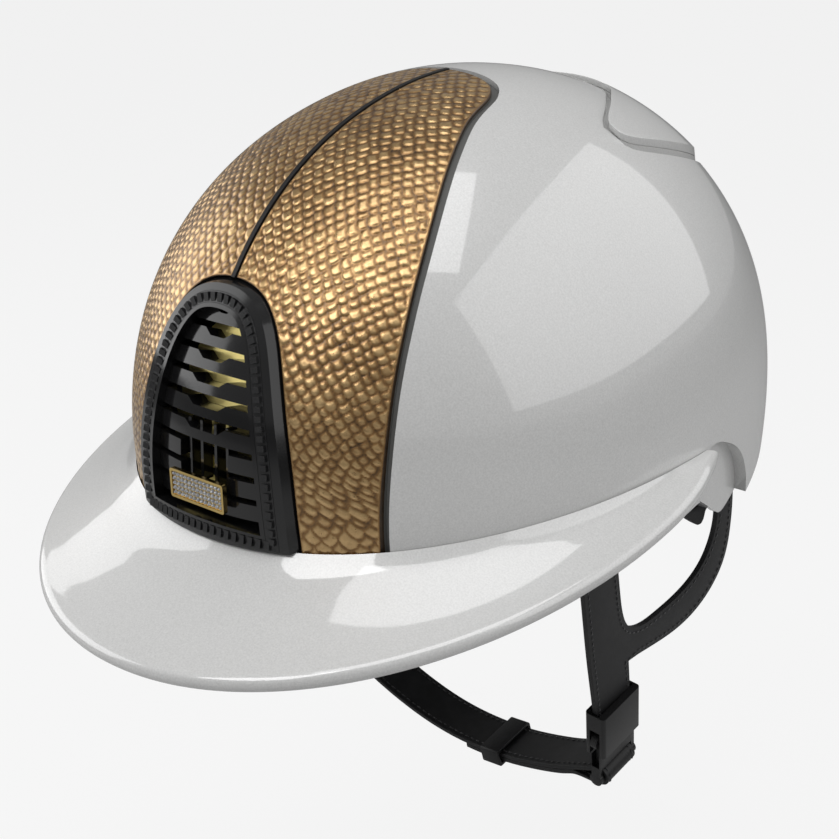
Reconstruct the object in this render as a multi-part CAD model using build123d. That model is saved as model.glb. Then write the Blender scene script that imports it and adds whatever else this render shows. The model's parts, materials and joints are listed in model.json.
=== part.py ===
from build123d import *
from collections import namedtuple
from functools import lru_cache
from math import atan2, cos, degrees, hypot, pi, radians, sin
import os

os.makedirs("parts", exist_ok=True)

# Polo helmet. Everything is modelled upright on the plane of the visor's edge and
# then tipped forward to the attitude in which it is worn: front towards -Y, the
# wearer's left towards +X, up towards +Z, and the origin at the dome's centre.

# Attitude
worn_pitch = 13.34

# Shared clearances
seat_gap = 0.15
soft_gap = 0.3
running_gap = 0.35
overrun = 40.0

# Rounds of halving in a search, and of settling the seam's height
search_rounds = 32
seam_spans = 6
settle_rounds = 4

# Dome: each form is half of a blown-up ellipse in plan and in side view
Form = namedtuple("Form", "half_width front rear crown skirt side_power front_power rear_power")
outside = Form(113.0, 135.1, 161.9, 139.4, 180.0, 2.08, 2.21, 1.93)
cavity = Form(86.0, 106.0, 124.0, 114.0, 150.0, 2.1, 2.1, 2.0)
dome_foot_drop = 64.0
ring_points = 20
ring_levels = 8

# Shell
shell_wall = 3.0
recess_depth = 3.5
recess_foot_z = 14.0
scoop_depth = 5.0
rim_front_z = -6.0
rim_ear_z = -20.0
rim_skirt_z = -46.0
ear_front_y = -62.0
ear_rear_y = 14.0
skirt_front_y = 40.0
rim_corner_radius = 12.0

# Ear scoop behind the visor's tail, as (y, z) shares of its length and height
scoop_front_y = 12.0
scoop_length = 45.5
scoop_top_z = -1.6
scoop_height = 46.0
scoop_shares = ((0.0, 0.32), (0.06, 0.08), (0.26, 0.0), (0.53, 0.12), (0.735, 0.29),
                (0.91, 0.54), (1.0, 0.78), (1.0, 1.4))

# Front panel, seen from above, as shares of its half width and its length
panel_half_width = 66.0
panel_rear_y = 31.0
panel_length = 149.0
panel_gap = 3.0
gap_narrowing = 0.3
panel_shares = ((0.21, 0.007), (0.371, 0.034), (0.46, 0.083), (0.508, 0.145), (0.556, 0.222),
                (0.661, 0.342), (0.77, 0.463), (0.865, 0.58), (0.945, 0.718), (0.985, 0.826),
                (0.997, 0.906), (0.967, 1.0))
skin_inset = 0.2
skin_wall = 1.1
piping_width = 1.8
piping_rise = 0.7
panel_spans = 8
flange_inset = 2.3

# Visor
visor_half_width = 128.4
visor_front = 158.8
visor_rear = 115.0
visor_centre_y = -29.0
visor_power = 2.05
visor_edge_z = -1.0
visor_lip_radius = 3.4
visor_wall = 4.2
visor_tail_angle = 113.0
visor_sections = 15
visor_root_depth = 12.0
seam_front_z = 20.0
seam_side_y = -28.0
seam_side_z = 8.6
seam_tail_y = 21.0
seam_tail_z = -0.9
collar_step = 0.6
collar_depth = 6.0
lip_share = 0.42
cove_shares = ((0.16, 0.30), (0.42, 0.58), (0.74, 0.84))

# Grille on the front, in a plane that leans with the dome
grille_lean = 21.6
grille_half_width = 40.2
grille_bottom = -42.5
grille_top = 52.6
grille_proud = 2.4
grille_flank = 5.4
flank_drop = 2.1
crown_narrowing = 0.15
foot_share = 0.7
arch_shares = ((1.0, 0.0), (0.99, 0.2), (0.955, 0.36), (0.87, 0.545), (0.735, 0.745),
               (0.575, 0.88), (0.36, 0.965))
beading_width = 5.0
beading_rise = 0.6
beading_depth = 1.6
beading_tooth = 2.2
beading_shoulder = 0.9
beading_pitch = 3.4
lip_width = 1.8
frame_wall = 2.2
frame_depth = 11.0
arc_centre_y = -2.06
arc_centre_z = 11.26
arc_radius = 132.4
slat_count = 10
slat_pitch = 8.6
slat_height = 6.1
slat_notch_drop = 2.4
slat_depth = 9.0
slat_inset = 1.2
slat_notch_share = 0.4
slat_bevel = 3.4
first_slat_v = -31.5
window_half_width = 12.5
window_slats = (1, 2)
rail_places = (3.6, 9.6)
rail_width = 1.3

# Vent shutter and its thumb tab
shutter_wall = 1.4
shutter_half_width = 24.0
shutter_bottom = -33.0
shutter_top = 38.0
shutter_bar = 4.9
shutter_travel = 4.3
stem_width = 4.4
stem_height = 3.0
tab_width = 28.0
tab_height = 11.2
tab_wall = 1.8
tab_v = -23.6
tab_corner = 1.0
tab_border = 1.0
stone_columns = 13
stone_rows = 5
stone_height = 0.8
stone_sides = 8
stone_taper = 30
stone_bite = 0.3

# Rear vent cover, seen from above: half outline as (x, y) sizes from horn to spine
cover_wall = 2.4
cover_horn_x = 64.0
cover_horn_y = 46.0
cover_front_shares = ((0.0, 1.09), (0.2, 1.06), (0.447, 0.94), (0.66, 0.62), (0.77, 0.42),
                      (0.865, 0.215), (0.945, 0.04))
cover_back_shares = ((1.02, 0.05), (1.035, 0.21), (1.035, 0.42), (0.98, 0.90), (0.82, 1.40),
                     (0.56, 1.80), (0.28, 2.02), (0.0, 2.08))
cover_span_y = 50.0
groove_width = 2.2
groove_depth = 1.6
exhaust_half_width = 30.0
exhaust_front_y = 105.0
exhaust_rear_y = 132.0
exhaust_corner = 6.0
exhaust_rib = 3.0
screen_wall = 1.0
screen_rib = 2.0
screen_pitch = 6.0

# Foam liner and edge cover
foam_gap = 0.3
foam_rim_lift = 3.4
edge_cover_lift = 0.6
edge_cover_wall = 2.4
channel_depth = 6.0
channel_width = 12.0
channel_places = (-30.0, 0.0, 30.0)
intake_half_width = 16.0
intake_height = 34.0
intake_corner = 6.0
pocket_inset = 14.5
exhaust_duct_floor = 44.0

# Comfort pads: half width, half height and centre height or place of each
pad_wall = 6.0
pad_corner = 9.0
brow_pad = (56.0, 15.0, 20.0)
nape_pad_size = (48.0, 17.0, -16.0)
side_pad_size = (43.0, 13.0, 10.0, 1.0)
crown_pad_size = (34.0, 60.0, 8.0)
tuft_width = 2.4
tuft_depth = 2.0
tuft_places = (-0.5, 0.0, 0.5)

# Harness: the flat straps lie in a plane that leans in towards the chin; their
# outlines are (y, z) places on that plane
strap_wall = 2.2
strap_x = 97.3
strap_lean_y = 0.04
strap_lean_z = 0.12
front_edge = ((-42.4, -10.2), (-39.5, -37.5), (-37.5, -61.2), (-35.0, -85.0))
crotch_edge = ((-21.5, -10.2), (-18.2, -40.8), (-17.0, -52.6), (-15.4, -63.0), (-10.8, -73.0),
               (-2.0, -78.0), (9.6, -79.4), (26.8, -78.8), (40.3, -73.4), (48.0, -62.0),
               (49.5, -52.0), (46.0, -40.0))
lower_edge = ((60.0, -40.0), (60.5, -52.0), (59.6, -66.5), (54.6, -83.0), (45.5, -91.6),
              (31.0, -96.3), (12.4, -95.2), (-6.0, -91.2))
leg_corner = (-11.6, -90.4)
leg_foot_front = -32.2
leg_foot_rear = -10.6
left_foot_z = -108.5
right_foot_z = -96.0
anchor_width = 19.0
anchor_height = 11.0
anchor_inner = 4.0
anchor_front_y = -31.5
anchor_front_z = -13.0
anchor_rear_y = 53.0
anchor_rear_z = -41.0
anchor_overlap = 4.0
rivet_radius = 2.0
rivet_head_radius = 3.8
rivet_head_height = 1.2
rivet_length = 9.0
screw_x = 106.6
screw_y = -20.0
screw_z = 4.6
screw_radius = 1.6
screw_head_radius = 3.2
screw_head_height = 1.8
screw_length = 10.0

# Buckle: local X along the strap's width, local Y up, local Z away from the face
buckle_y = -21.0
strap_bite = 2.5
socket_width = 25.8
socket_above = 1.5
socket_below = 20.0
socket_depth = 9.6
socket_round = 1.6
pocket_width = 20.6
pocket_depth = 5.8
pocket_top = -6.0
strap_slot_width = 24.2
strap_slot_depth = 3.4
strap_slot_floor = -3.5
window_depth = 4.8
window_top = -7.0
plug_wall = 4.0
plug_body_width = 25.0
plug_body_top = -20.6
plug_body_end = -29.2
tongue_width = 11.6
tongue_top = -6.6
prong_inner = 8.1
prong_outer = 9.9
prong_reach = 14.0
prong_top = -7.6
prong_foot = -27.0
prong_depth = 3.0
prong_travel = 1.6
bump_low = -17.5
bump_high = -9.5
cheek_inner = 10.3
cheek_width = 2.2
cheek_radius = 3.0
bar_below = 34.5
bar_radius = 2.1
ring_block_floor = -5.0
ring_bar_below = 10.5
ring_depth = 6.4

# Chin strap: a band of constant width along Y, as (x, z) places from the ring to the buckle
chin_width = 19.6
chin_wall = 2.0
chin_run = ((-66.0, -124.5), (-50.0, -137.0), (-30.0, -147.0), (-8.0, -153.2), (13.0, -154.4),
            (34.0, -152.0), (54.0, -146.8))
fold_gap = 0.2
fold_merge = 16.0
tail_end_x = 1.0
stitch_end_x = -62.0
path_step = 5.0
turn_steps = 10
keeper_x = 19.0
keeper_length = 10.0
keeper_wall = 1.4
keeper_gap = 0.6
flap_wall = 6.0
flap_gap = 0.6
flap_points = ((16.0, -20.5), (20.0, -33.0), (27.7, -42.5), (37.0, -53.0), (43.5, -57.5),
               (47.0, -54.0), (46.0, -40.0))


def superpower(value, power):
    """A positive value raised to a power, with zero kept at zero."""
    return max(value, 0.0) ** power


def level_ring(form, inset, z):
    """Flat face of a dome's level section at height z."""
    height = (form.crown if z >= 0 else form.skirt) - inset
    level = abs(z) / height
    widest = superpower(1 - level ** form.side_power, 1 / form.side_power)
    points = []
    for index in range(ring_points):
        angle = 2 * pi * index / ring_points
        across = widest * sin(angle)
        facing_front = cos(angle) < 0
        power = form.front_power if facing_front else form.rear_power
        reach = (form.front if facing_front else form.rear) - inset
        profile = superpower(1 - abs(across) ** form.side_power, 1 / form.side_power)
        along = superpower(profile ** power - level ** power, 1 / power)
        if index * 4 % ring_points == 0 and index * 2 % ring_points != 0:
            along = 0.0
        side = -1 if facing_front else 1
        points.append(((form.half_width - inset) * across, side * reach * along, z))
    return make_face(Spline(*points, periodic=True))


@lru_cache(maxsize=None)
def dome(form, inset):
    """Closed solid of a dome form with its surface moved in by inset."""
    crown = form.crown - inset
    sections = [level_ring(form, inset, -dome_foot_drop), level_ring(form, inset, -dome_foot_drop / 2)]
    for level in range(ring_levels):
        sections.append(level_ring(form, inset, crown * sin(pi / 2 * level / ring_levels)))
    sections.append(Vertex(0, 0, crown))
    return loft(sections)


def pushed(points, step, shares=None):
    """Path points moved sideways to the left of the direction of travel, each by its share of step."""
    moved = []
    last = len(points) - 1
    for index, (x, y) in enumerate(points):
        before = points[max(index - 1, 0)]
        after = points[min(index + 1, last)]
        run = after[0] - before[0]
        rise = after[1] - before[1]
        length = hypot(run, rise)
        own = step * shares[index] if shares else step
        moved.append((x - own * rise / length, y + own * run / length))
    return moved


def mirrored_path(half):
    """A half path that starts near the middle line, with its mirror image put before it."""
    left = [(-x, y) for x, y in reversed(half)]
    if half[0][0] == 0:
        left = left[:-1]
    return left + list(half)


def split_spline(path, spans):
    """Smooth line through a path as several shorter splines that share their end directions."""
    count = len(path) - 1
    marks = [round(count * index / spans) for index in range(spans + 1)]
    heading = []
    for mark in marks:
        before = path[max(mark - 1, 0)]
        after = path[min(mark + 1, count)]
        heading.append(unit(before, after))
    line = Spline(*path[:marks[1] + 1], tangents=(heading[0], heading[1]))
    for index in range(1, spans):
        piece = path[marks[index]:marks[index + 1] + 1]
        line += Spline(*piece, tangents=(heading[index], heading[index + 1]))
    return line


def panel_sketch(step):
    """Front panel's outline seen from above, grown by step and run out over the front."""
    half = [(0.0, panel_rear_y)]
    half += [(panel_half_width * a, panel_rear_y - panel_length * b) for a, b in panel_shares]
    path = mirrored_path(half)
    shares = [1 - gap_narrowing * ((panel_rear_y - y) / panel_length) ** 2 for _, y in path]
    path = pushed(path, step, shares)
    first, final = path[0], path[-1]
    outer_y = -outside.front - overrun
    edges = split_spline(path, panel_spans)
    edges += Polyline(final, (final[0], outer_y), (first[0], outer_y), first)
    return make_face(edges)


@lru_cache(maxsize=None)
def panel_prism(step, foot=recess_foot_z):
    """Upright prism of the panel's outline."""
    height = outside.crown + overrun - foot
    return extrude(Pos(0, 0, foot) * panel_sketch(step), height)


@lru_cache(maxsize=None)
def scoop_prism(step):
    """Prism across the helmet of the ear scoop's outline, grown by step."""
    path = [(scoop_front_y + scoop_length * a, scoop_top_z - scoop_height * b) for a, b in scoop_shares]
    path = pushed(path, step)
    first, final = path[0], path[-1]
    low = final[1]
    edges = Spline(*path) + Polyline(final, (first[0], low), first)
    return extrude(Plane.YZ * make_face(edges), outside.half_width + overrun, both=True)


@lru_cache(maxsize=None)
def rim_block(lift):
    """Everything above the rim line, which rises over the ears, as a prism across the helmet."""
    top = outside.crown + overrun
    front_y = -outside.front - overrun
    rear_y = outside.rear + overrun
    line = Polyline(
        (front_y, rim_front_z + lift),
        (ear_front_y - rim_corner_radius, rim_front_z + lift),
        (ear_front_y + rim_corner_radius, rim_ear_z + lift),
        (ear_rear_y, rim_ear_z + lift),
        (skirt_front_y, rim_skirt_z + lift),
        (rear_y, rim_skirt_z + lift),
        (rear_y, top),
        (front_y, top),
        close=True,
    )
    face = make_face(line)
    corners = [v for v in face.vertices() if v.Y < 0 and abs(v.X) < outside.front]
    face = fillet(corners, rim_corner_radius)
    return extrude(Plane.YZ * face, outside.half_width + overrun, both=True)


def blank(inset):
    """The helmet's outside moved in by inset, with the panel recess and the ear scoops let in."""
    block = dome(outside, inset)
    block -= panel_prism(panel_gap + inset, recess_foot_z - inset) - dome(outside, inset + recess_depth)
    block -= scoop_prism(inset) - dome(outside, inset + scoop_depth)
    return block


def dome_radius(angle, z):
    """Distance from the visor's centre to the dome along a compass angle at height z."""
    near = 0.0
    far = outside.rear + outside.half_width
    height = outside.crown if z >= 0 else outside.skirt
    for _ in range(search_rounds):
        middle = (near + far) / 2
        x = middle * sin(angle)
        y = visor_centre_y - middle * cos(angle)
        power = outside.front_power if y < 0 else outside.rear_power
        reach = outside.front if y < 0 else outside.rear
        profile = (abs(y / reach) ** power + abs(z / height) ** power) ** (1 / power)
        if profile ** outside.side_power + abs(x / outside.half_width) ** outside.side_power < 1:
            near = middle
        else:
            far = middle
    return near


def seam_height(y):
    """Height of the seam between visor and shell, a parabola through three known places."""
    places = ((-outside.front, seam_front_z), (seam_side_y, seam_side_z), (seam_tail_y, seam_tail_z))
    total = 0.0
    for index, (own_y, own_z) in enumerate(places):
        factor = own_z
        for other, (other_y, _) in enumerate(places):
            if other != index:
                factor *= (y - other_y) / (own_y - other_y)
        total += factor
    return total


def seam_place(angle):
    """Radius and height where the seam crosses a compass angle."""
    z = seam_side_z
    radius = dome_radius(angle, z)
    for _ in range(settle_rounds):
        z = seam_height(visor_centre_y - radius * cos(angle))
        radius = dome_radius(angle, z)
    return radius, z


def visor_reach(angle):
    """Radius of the visor's outer edge at a compass angle."""
    length = visor_front if cos(angle) > 0 else visor_rear
    shape = abs(cos(angle) / length) ** visor_power + abs(sin(angle) / visor_half_width) ** visor_power
    return shape ** (-1 / visor_power)


def visor_section(angle):
    """Upright section of the visor: cove, sloping top, rolled lip, underside and root."""
    root, seam_z = seam_place(angle)
    reach = visor_reach(angle)
    width = reach - root
    lip = min(visor_lip_radius, width * lip_share)
    lip_z = min(visor_edge_z, seam_z - lip)
    start = (root + collar_step, seam_z)
    run = width - lip - collar_step
    drop = seam_z - lip_z - lip
    top = [start]
    top += [(start[0] + run * a, seam_z - drop * b) for a, b in cove_shares]
    top.append((reach - lip, lip_z + lip))
    under = [(reach - lip, lip_z - lip)]
    under += [(r, z - visor_wall) for r, z in reversed(top[1:-1])]
    under.append((root, seam_z - collar_depth))

    def place(point):
        return (point[0] * sin(angle), visor_centre_y - point[0] * cos(angle), point[1])

    inner = root - visor_root_depth
    edges = Spline(*[place(p) for p in top])
    edges += ThreePointArc(place(top[-1]), place((reach, lip_z)), place(under[0]))
    edges += Spline(*[place(p) for p in under])
    edges += Polyline(
        place(under[-1]), place((inner, seam_z - collar_depth)), place((inner, seam_z)), place(start)
    )
    return make_face(edges)


def polo_visor():
    """Visor lofted round the front of the dome and cut to sit against it."""
    sections = []
    for index in range(visor_sections):
        share = 2 * index / (visor_sections - 1) - 1
        sections.append(visor_section(radians(visor_tail_angle * share)))
    body = loft(sections) - dome(outside, 0.0)
    return body.cut(*visor_screws(seat_gap))


def arch_path(step):
    """Left foot to apex to right foot of the grille's arch, drawn in by step."""
    height = grille_top - grille_bottom
    half = [(0.0, grille_top)]
    half += [(grille_half_width * a, grille_bottom + height * b) for a, b in reversed(arch_shares)]
    path = mirrored_path(half)
    shares = [1 - crown_narrowing * ((v - grille_bottom) / height) ** 2 for _, v in path]
    path = pushed(path, -step, shares)
    foot = grille_bottom + step * foot_share
    first = (path[0][0], foot)
    final = (path[-1][0], foot)
    return [first] + path[1:-1] + [final]


def arch_half_width(v, step):
    """Half width of the drawn-in arch at height v."""
    path = arch_path(step)
    right = path[len(path) // 2:]
    for (wide, high), (wider, low) in zip(right, right[1:]):
        if low <= v <= high:
            return wide + (wider - wide) * (high - v) / (high - low)
    return right[-1][0]


def front_plane(angle, radius):
    """Plane square to the grille's arc, an angle up from the arc centre and at a radius."""
    y = arc_centre_y - radius * cos(angle)
    z = arc_centre_z + radius * sin(angle)
    return Plane(origin=(0, y, z), x_dir=(1, 0, 0), z_dir=(0, -cos(angle), sin(angle)))


grille_plane = front_plane(radians(grille_lean), arc_radius)
window_step = grille_flank + beading_width + lip_width


def arch_sketch(step):
    """Face of the grille's arch in its own flat plane."""
    path = arch_path(step)
    edges = Spline(*path) + Line(path[-1], path[0])
    return make_face(edges)


@lru_cache(maxsize=None)
def arch_prism(step, shift=0.0):
    """Prism through the front of the helmet of the drawn-in arch."""
    return extrude(grille_plane * Pos(0, shift) * arch_sketch(step), overrun, both=True)


def dome_depth(u, v, inset):
    """Height above the grille's plane at which the dome, moved in by inset, is met."""
    near = -overrun
    far = overrun
    lean = radians(grille_lean)
    for _ in range(search_rounds):
        middle = (near + far) / 2
        y = grille_plane.origin.Y + v * sin(lean) - middle * cos(lean)
        z = grille_plane.origin.Z + v * cos(lean) + middle * sin(lean)
        along = abs(y) / (outside.front - inset)
        up = abs(z) / (outside.crown - inset)
        across = abs(u) / (outside.half_width - inset)
        power = outside.front_power
        profile = (along ** power + up ** power) ** (1 / power)
        if profile ** outside.side_power + across ** outside.side_power < 1:
            near = middle
        else:
            far = middle
    return near


def slat_angle(index):
    """Angle of a louvre's lower edge, up from the arc centre's level."""
    return radians(grille_lean) + (first_slat_v + index * slat_pitch) / arc_radius


def slat(index):
    """One louvre: a deep blade whose top edge is notched in the middle with bevelled sides."""
    v = first_slat_v + index * slat_pitch
    notch = slat_notch_share * arch_half_width(v, window_step)
    floor = notch - slat_bevel
    half = grille_half_width
    low = slat_height - slat_notch_drop
    outline = Polyline(
        (-half, 0), (half, 0), (half, slat_height), (notch, slat_height), (floor, low),
        (-floor, low), (-notch, slat_height), (-half, slat_height), close=True,
    )
    plane = front_plane(slat_angle(index), arc_radius - slat_depth)
    blade = extrude(plane * make_face(outline), overrun)
    if index in window_slats:
        window = Rectangle(2 * window_half_width, 2 * slat_pitch)
        blade -= extrude(plane * window, overrun)
    return blade


def guide_rails():
    """Upright ribs behind the thumb tab, on which the shutter's stem is guided."""
    rails = []
    low = slat_angle(window_slats[0] - 1)
    high = slat_angle(window_slats[-1] + 1) + slat_height / arc_radius
    plane = front_plane((low + high) / 2, arc_radius - slat_depth)
    height = (high - low) * arc_radius
    for place in rail_places:
        for side in (-1, 1):
            face = plane * Pos(side * place, 0) * Rectangle(rail_width, height)
            rails.append(extrude(face, slat_depth / 2))
    return rails


def above_seam():
    """Everything above the visor's seam at the front, as a prism across the helmet."""
    front_y = -outside.front - overrun
    places = [front_y + index * overrun / 2 for index in range(seam_spans)]
    seam = [(y, seam_height(y) + seat_gap) for y in places]
    top = outside.crown + overrun
    line = Polyline(*seam, (seam[-1][0], top), (front_y, top), close=True)
    return extrude(Plane.YZ * make_face(line), outside.half_width, both=True)


def grille_frame():
    """Black moulding: sloping flank, border, skirt through the shell and notched louvres."""
    proud = arch_prism(0.0) & dome(outside, -grille_proud)
    face = proud.faces().sort_by(Axis.Y)[0]
    arch_edge = face.edges().sort_by(SortBy.LENGTH)[-1]
    proud = chamfer(arch_edge, flank_drop, grille_flank, reference=face) & above_seam()
    border = proud - dome(outside, recess_depth - seat_gap)
    skirt = arch_prism(window_step - frame_wall) & dome(outside, 0.0)
    skirt = (skirt - dome(outside, frame_depth)) & above_seam()
    body = (border + skirt) - arch_prism(window_step)
    blades = [slat(index) for index in range(slat_count)] + guide_rails()
    core = blades[0].fuse(*blades[1:])
    core = (core & arch_prism(window_step - frame_wall / 2)) & dome(outside, slat_inset)
    body = body + core
    groove = arch_prism(grille_flank) - arch_prism(grille_flank + beading_width)
    groove -= dome(outside, -grille_proud + beading_depth)
    return body - groove


def grille_beading():
    """Bead pressed into the border's groove, with a row of small teeth on its back."""
    ring = arch_prism(grille_flank + seat_gap) - arch_prism(grille_flank + beading_width - seat_gap)
    ring &= dome(outside, -grille_proud)
    ring -= dome(outside, -grille_proud + beading_depth - seat_gap)
    path = arch_path(grille_flank + beading_width / 2)
    line = Spline(*path) + Line(path[-1], path[0])
    block = Box(
        beading_tooth, beading_width - 2 * beading_shoulder, beading_rise + beading_depth / 2,
        align=(Align.CENTER, Align.CENTER, Align.MAX),
    )
    teeth = []
    for edge in line.edges():
        count = round(edge.length / beading_pitch)
        for index in range(count):
            share = (index + 1 / 2) / count
            spot = edge.position_at(share)
            depth = dome_depth(spot.X, spot.Y, -grille_proud - beading_rise)
            place = Pos(spot.X, spot.Y, depth) * Rot(0, 0, edge.tangent_angle_at(share))
            teeth.append(grille_plane * place * block)
    return ring.fuse(*teeth)


def shutter_skin(low_v, high_v, half_width, inner, outer):
    """Curved plate between two radii about the grille's arc centre."""
    start = radians(grille_lean) + low_v / arc_radius
    sweep = degrees((high_v - low_v) / arc_radius)
    plane = front_plane(start, (inner + outer) / 2)
    strip = plane * Rot(90, 0, 0) * Rectangle(2 * half_width, outer - inner)
    axis = Axis((0, arc_centre_y, arc_centre_z), (-1, 0, 0))
    return revolve(strip, axis, sweep)


shutter_outer = arc_radius - slat_depth - running_gap
shutter_inner = shutter_outer - shutter_wall


def vent_shutter():
    """Curved plate behind the louvres, slotted at their pitch, with the stem of its tab."""
    plate = shutter_skin(shutter_bottom, shutter_top, shutter_half_width, shutter_inner, shutter_outer)
    plate &= arch_prism(window_step + running_gap, -shutter_travel - running_gap)
    for index in range(1, slat_count):
        angle = slat_angle(index)
        if first_slat_v + index * slat_pitch < shutter_top - slat_pitch:
            wide = 2 * (arch_half_width(first_slat_v + index * slat_pitch, window_step) - slat_bevel * 2)
            plane = front_plane(angle, shutter_inner - shutter_wall)
            height = slat_pitch - shutter_bar
            slot = Pos(0, height / 2) * Rectangle(wide, height)
            plate -= extrude(plane * slot, shutter_wall * 3)
    tab_angle = radians(grille_lean) + tab_v / arc_radius
    stem_plane = front_plane(tab_angle, shutter_outer - shutter_wall / 2)
    stem = extrude(stem_plane * Rectangle(stem_width, stem_height), tab_radius - stem_plane_reach())
    return plate + stem


tab_radius = arc_radius + running_gap


def stem_plane_reach():
    """Radius at which the shutter's stem starts."""
    return shutter_outer - shutter_wall / 2


def tab_plane(radius):
    """Plane of the thumb tab at a radius."""
    return front_plane(radians(grille_lean) + tab_v / arc_radius, radius)


def shutter_tab():
    """Gold plate on the stem, with a raised border round its bed of stones."""
    plate = extrude(tab_plane(tab_radius) * RectangleRounded(tab_width, tab_height, tab_corner), tab_wall)
    bed = RectangleRounded(tab_width - 2 * tab_border, tab_height - 2 * tab_border, tab_corner / 2)
    plate -= extrude(tab_plane(tab_radius + tab_wall - stone_bite * 2) * bed, overrun)
    return plate


def tab_stones():
    """Rows of small cut stones: a girdle cone with a flat table on top."""
    pitch_x = (tab_width - 2 * tab_border) / stone_columns
    pitch_y = (tab_height - 2 * tab_border) / stone_rows
    wide = min(pitch_x, pitch_y) / 2 - seat_gap / 2
    base = tab_radius + tab_wall - stone_bite * 2
    stones = []
    for column in range(stone_columns):
        for row in range(stone_rows):
            x = (column - (stone_columns - 1) / 2) * pitch_x
            y = (row - (stone_rows - 1) / 2) * pitch_y
            face = RegularPolygon(wide, stone_sides)
            stones.append(extrude(tab_plane(base) * Pos(x, y) * face, stone_height, taper=stone_taper))
    return Compound(children=stones)


def cover_points():
    """Closed outline of the rear vent cover, from the spine round the left side and back."""
    front = [(cover_horn_x * a, cover_horn_y + cover_span_y * b) for a, b in cover_front_shares]
    back = [(cover_horn_x * a, cover_horn_y + cover_span_y * b) for a, b in cover_back_shares]
    return front, back


def cover_sketch(step):
    """Face of the cover's outline seen from above, grown by step."""
    front, back = cover_points()
    front_path = pushed(mirrored_path(front), -step)
    back_half = list(reversed(back))
    back_path = pushed(mirrored_path(back_half), step)
    tip_right = (front_path[-1], back_path[-1])
    tip_left = (back_path[0], front_path[0])
    edges = Spline(*front_path) + Spline(*back_path)
    edges += Line(*tip_right)
    edges += Line(*tip_left)
    return make_face(edges)


@lru_cache(maxsize=None)
def cover_prism(step):
    """Upright prism of the rear cover's outline."""
    return extrude(cover_sketch(step), outside.crown + overrun)


@lru_cache(maxsize=None)
def opening_prism(step):
    """Prism through the front for the grille's skirt, grown by step."""
    return arch_prism(window_step - frame_wall - step)


def exhaust_holes(step, floor=0.0):
    """Two upright rounded ducts under the rear cover, one each side of the spine, grown by step."""
    length = exhaust_rear_y - exhaust_front_y
    width = exhaust_half_width - exhaust_rib
    holes = []
    for side in (-1, 1):
        outline = RectangleRounded(width + 2 * step, length + 2 * step, exhaust_corner)
        spot = Pos(side * (exhaust_rib + width / 2), exhaust_front_y + length / 2, floor)
        holes.append(extrude(spot * outline, outside.crown + overrun))
    return holes


@lru_cache(maxsize=None)
def foam_block():
    """Room between the shell and the head, before it is cut at the rim."""
    return blank(shell_wall + foam_gap) - dome(cavity, 0.0)


def outer_shell():
    """Shell of even wall with the panel recess, scoops, grille opening and exhaust."""
    shell = blank(0.0) - blank(shell_wall)
    shell &= rim_block(0.0)
    shell -= opening_prism(soft_gap)
    shell = shell.cut(*exhaust_holes(0.0), *visor_screws(seat_gap))
    groove = cover_prism(groove_width) - cover_prism(0.0)
    groove -= dome(outside, groove_depth)
    return shell - groove


def panel_layer(top_inset, bottom_inset, step):
    """Layer of the front panel between two depths, drawn in by step and cut round the grille."""
    layer = panel_prism(-step, recess_foot_z + soft_gap) & dome(outside, top_inset)
    layer -= dome(outside, bottom_inset)
    return layer - arch_prism(-soft_gap)


def half_space(side, start):
    """Big block on one side of the middle plane, starting a distance away from it."""
    size = 2 * (outside.rear + overrun)
    return Pos(side * (start + size / 2), 0, 0) * Box(size, size, size)


def panel_skin(side):
    """Leather of one half of the front panel."""
    layer = panel_layer(skin_inset, skin_inset + skin_wall, 0.0)
    return layer & half_space(side, piping_width / 2 + seat_gap)


def panel_carrier():
    """Moulded plate under the leather, with a flange that fills the floor of the gap."""
    top = skin_inset + skin_wall + seat_gap
    flange = panel_layer(flange_inset, recess_depth - seat_gap, seat_gap - panel_gap)
    return flange + panel_layer(top, flange_inset + seat_gap, seat_gap)


def panel_piping():
    """Round-backed piping along the middle of the panel, from the grille's top to the rear edge."""
    layer = panel_layer(skin_inset - piping_rise, skin_inset + skin_wall, 0.0)
    size = outside.rear + overrun
    return layer & Pos(0, 0, grille_top + size) * Box(piping_width, 2 * size, 2 * size)


def rear_vent_cover():
    """White cover over the exhaust, with softened edges."""
    cover = cover_prism(0.0) & dome(outside, -cover_wall)
    cover -= dome(outside, -seat_gap)
    return cover


def rear_vent_screen():
    """Barred screen seated in each exhaust duct."""
    holes = exhaust_holes(-seat_gap)
    bars = holes[0].fuse(holes[1])
    bars = (bars & dome(outside, seat_gap)) - dome(outside, screen_wall)
    length = exhaust_rear_y - exhaust_front_y - 2 * screen_rib
    middle_y = (exhaust_front_y + exhaust_rear_y) / 2
    count = int((exhaust_half_width - exhaust_rib) / screen_pitch)
    slots = []
    for side in (-1, 1):
        for index in range(count):
            x = side * (exhaust_rib + (index + 1 / 2) * screen_pitch + screen_rib / 2)
            slot = Pos(x, middle_y) * Rectangle(screen_pitch - screen_rib, length)
            slots.append(extrude(slot, outside.crown + overrun))
    return bars.cut(*slots)


def strap_place(y, z):
    """Point of the left strap's plane at a given y and z."""
    return (strap_x + strap_lean_y * y + strap_lean_z * z, y, z)


strap_plane = Plane(
    origin=strap_place(0, 0), x_dir=(strap_lean_y, 1, 0), z_dir=(1, -strap_lean_y, -strap_lean_z)
)


def mirrored(solid, side):
    """The solid as it is on the wearer's left, or its mirror image on the right."""
    return solid if side > 0 else mirror(solid, Plane.YZ)


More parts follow.
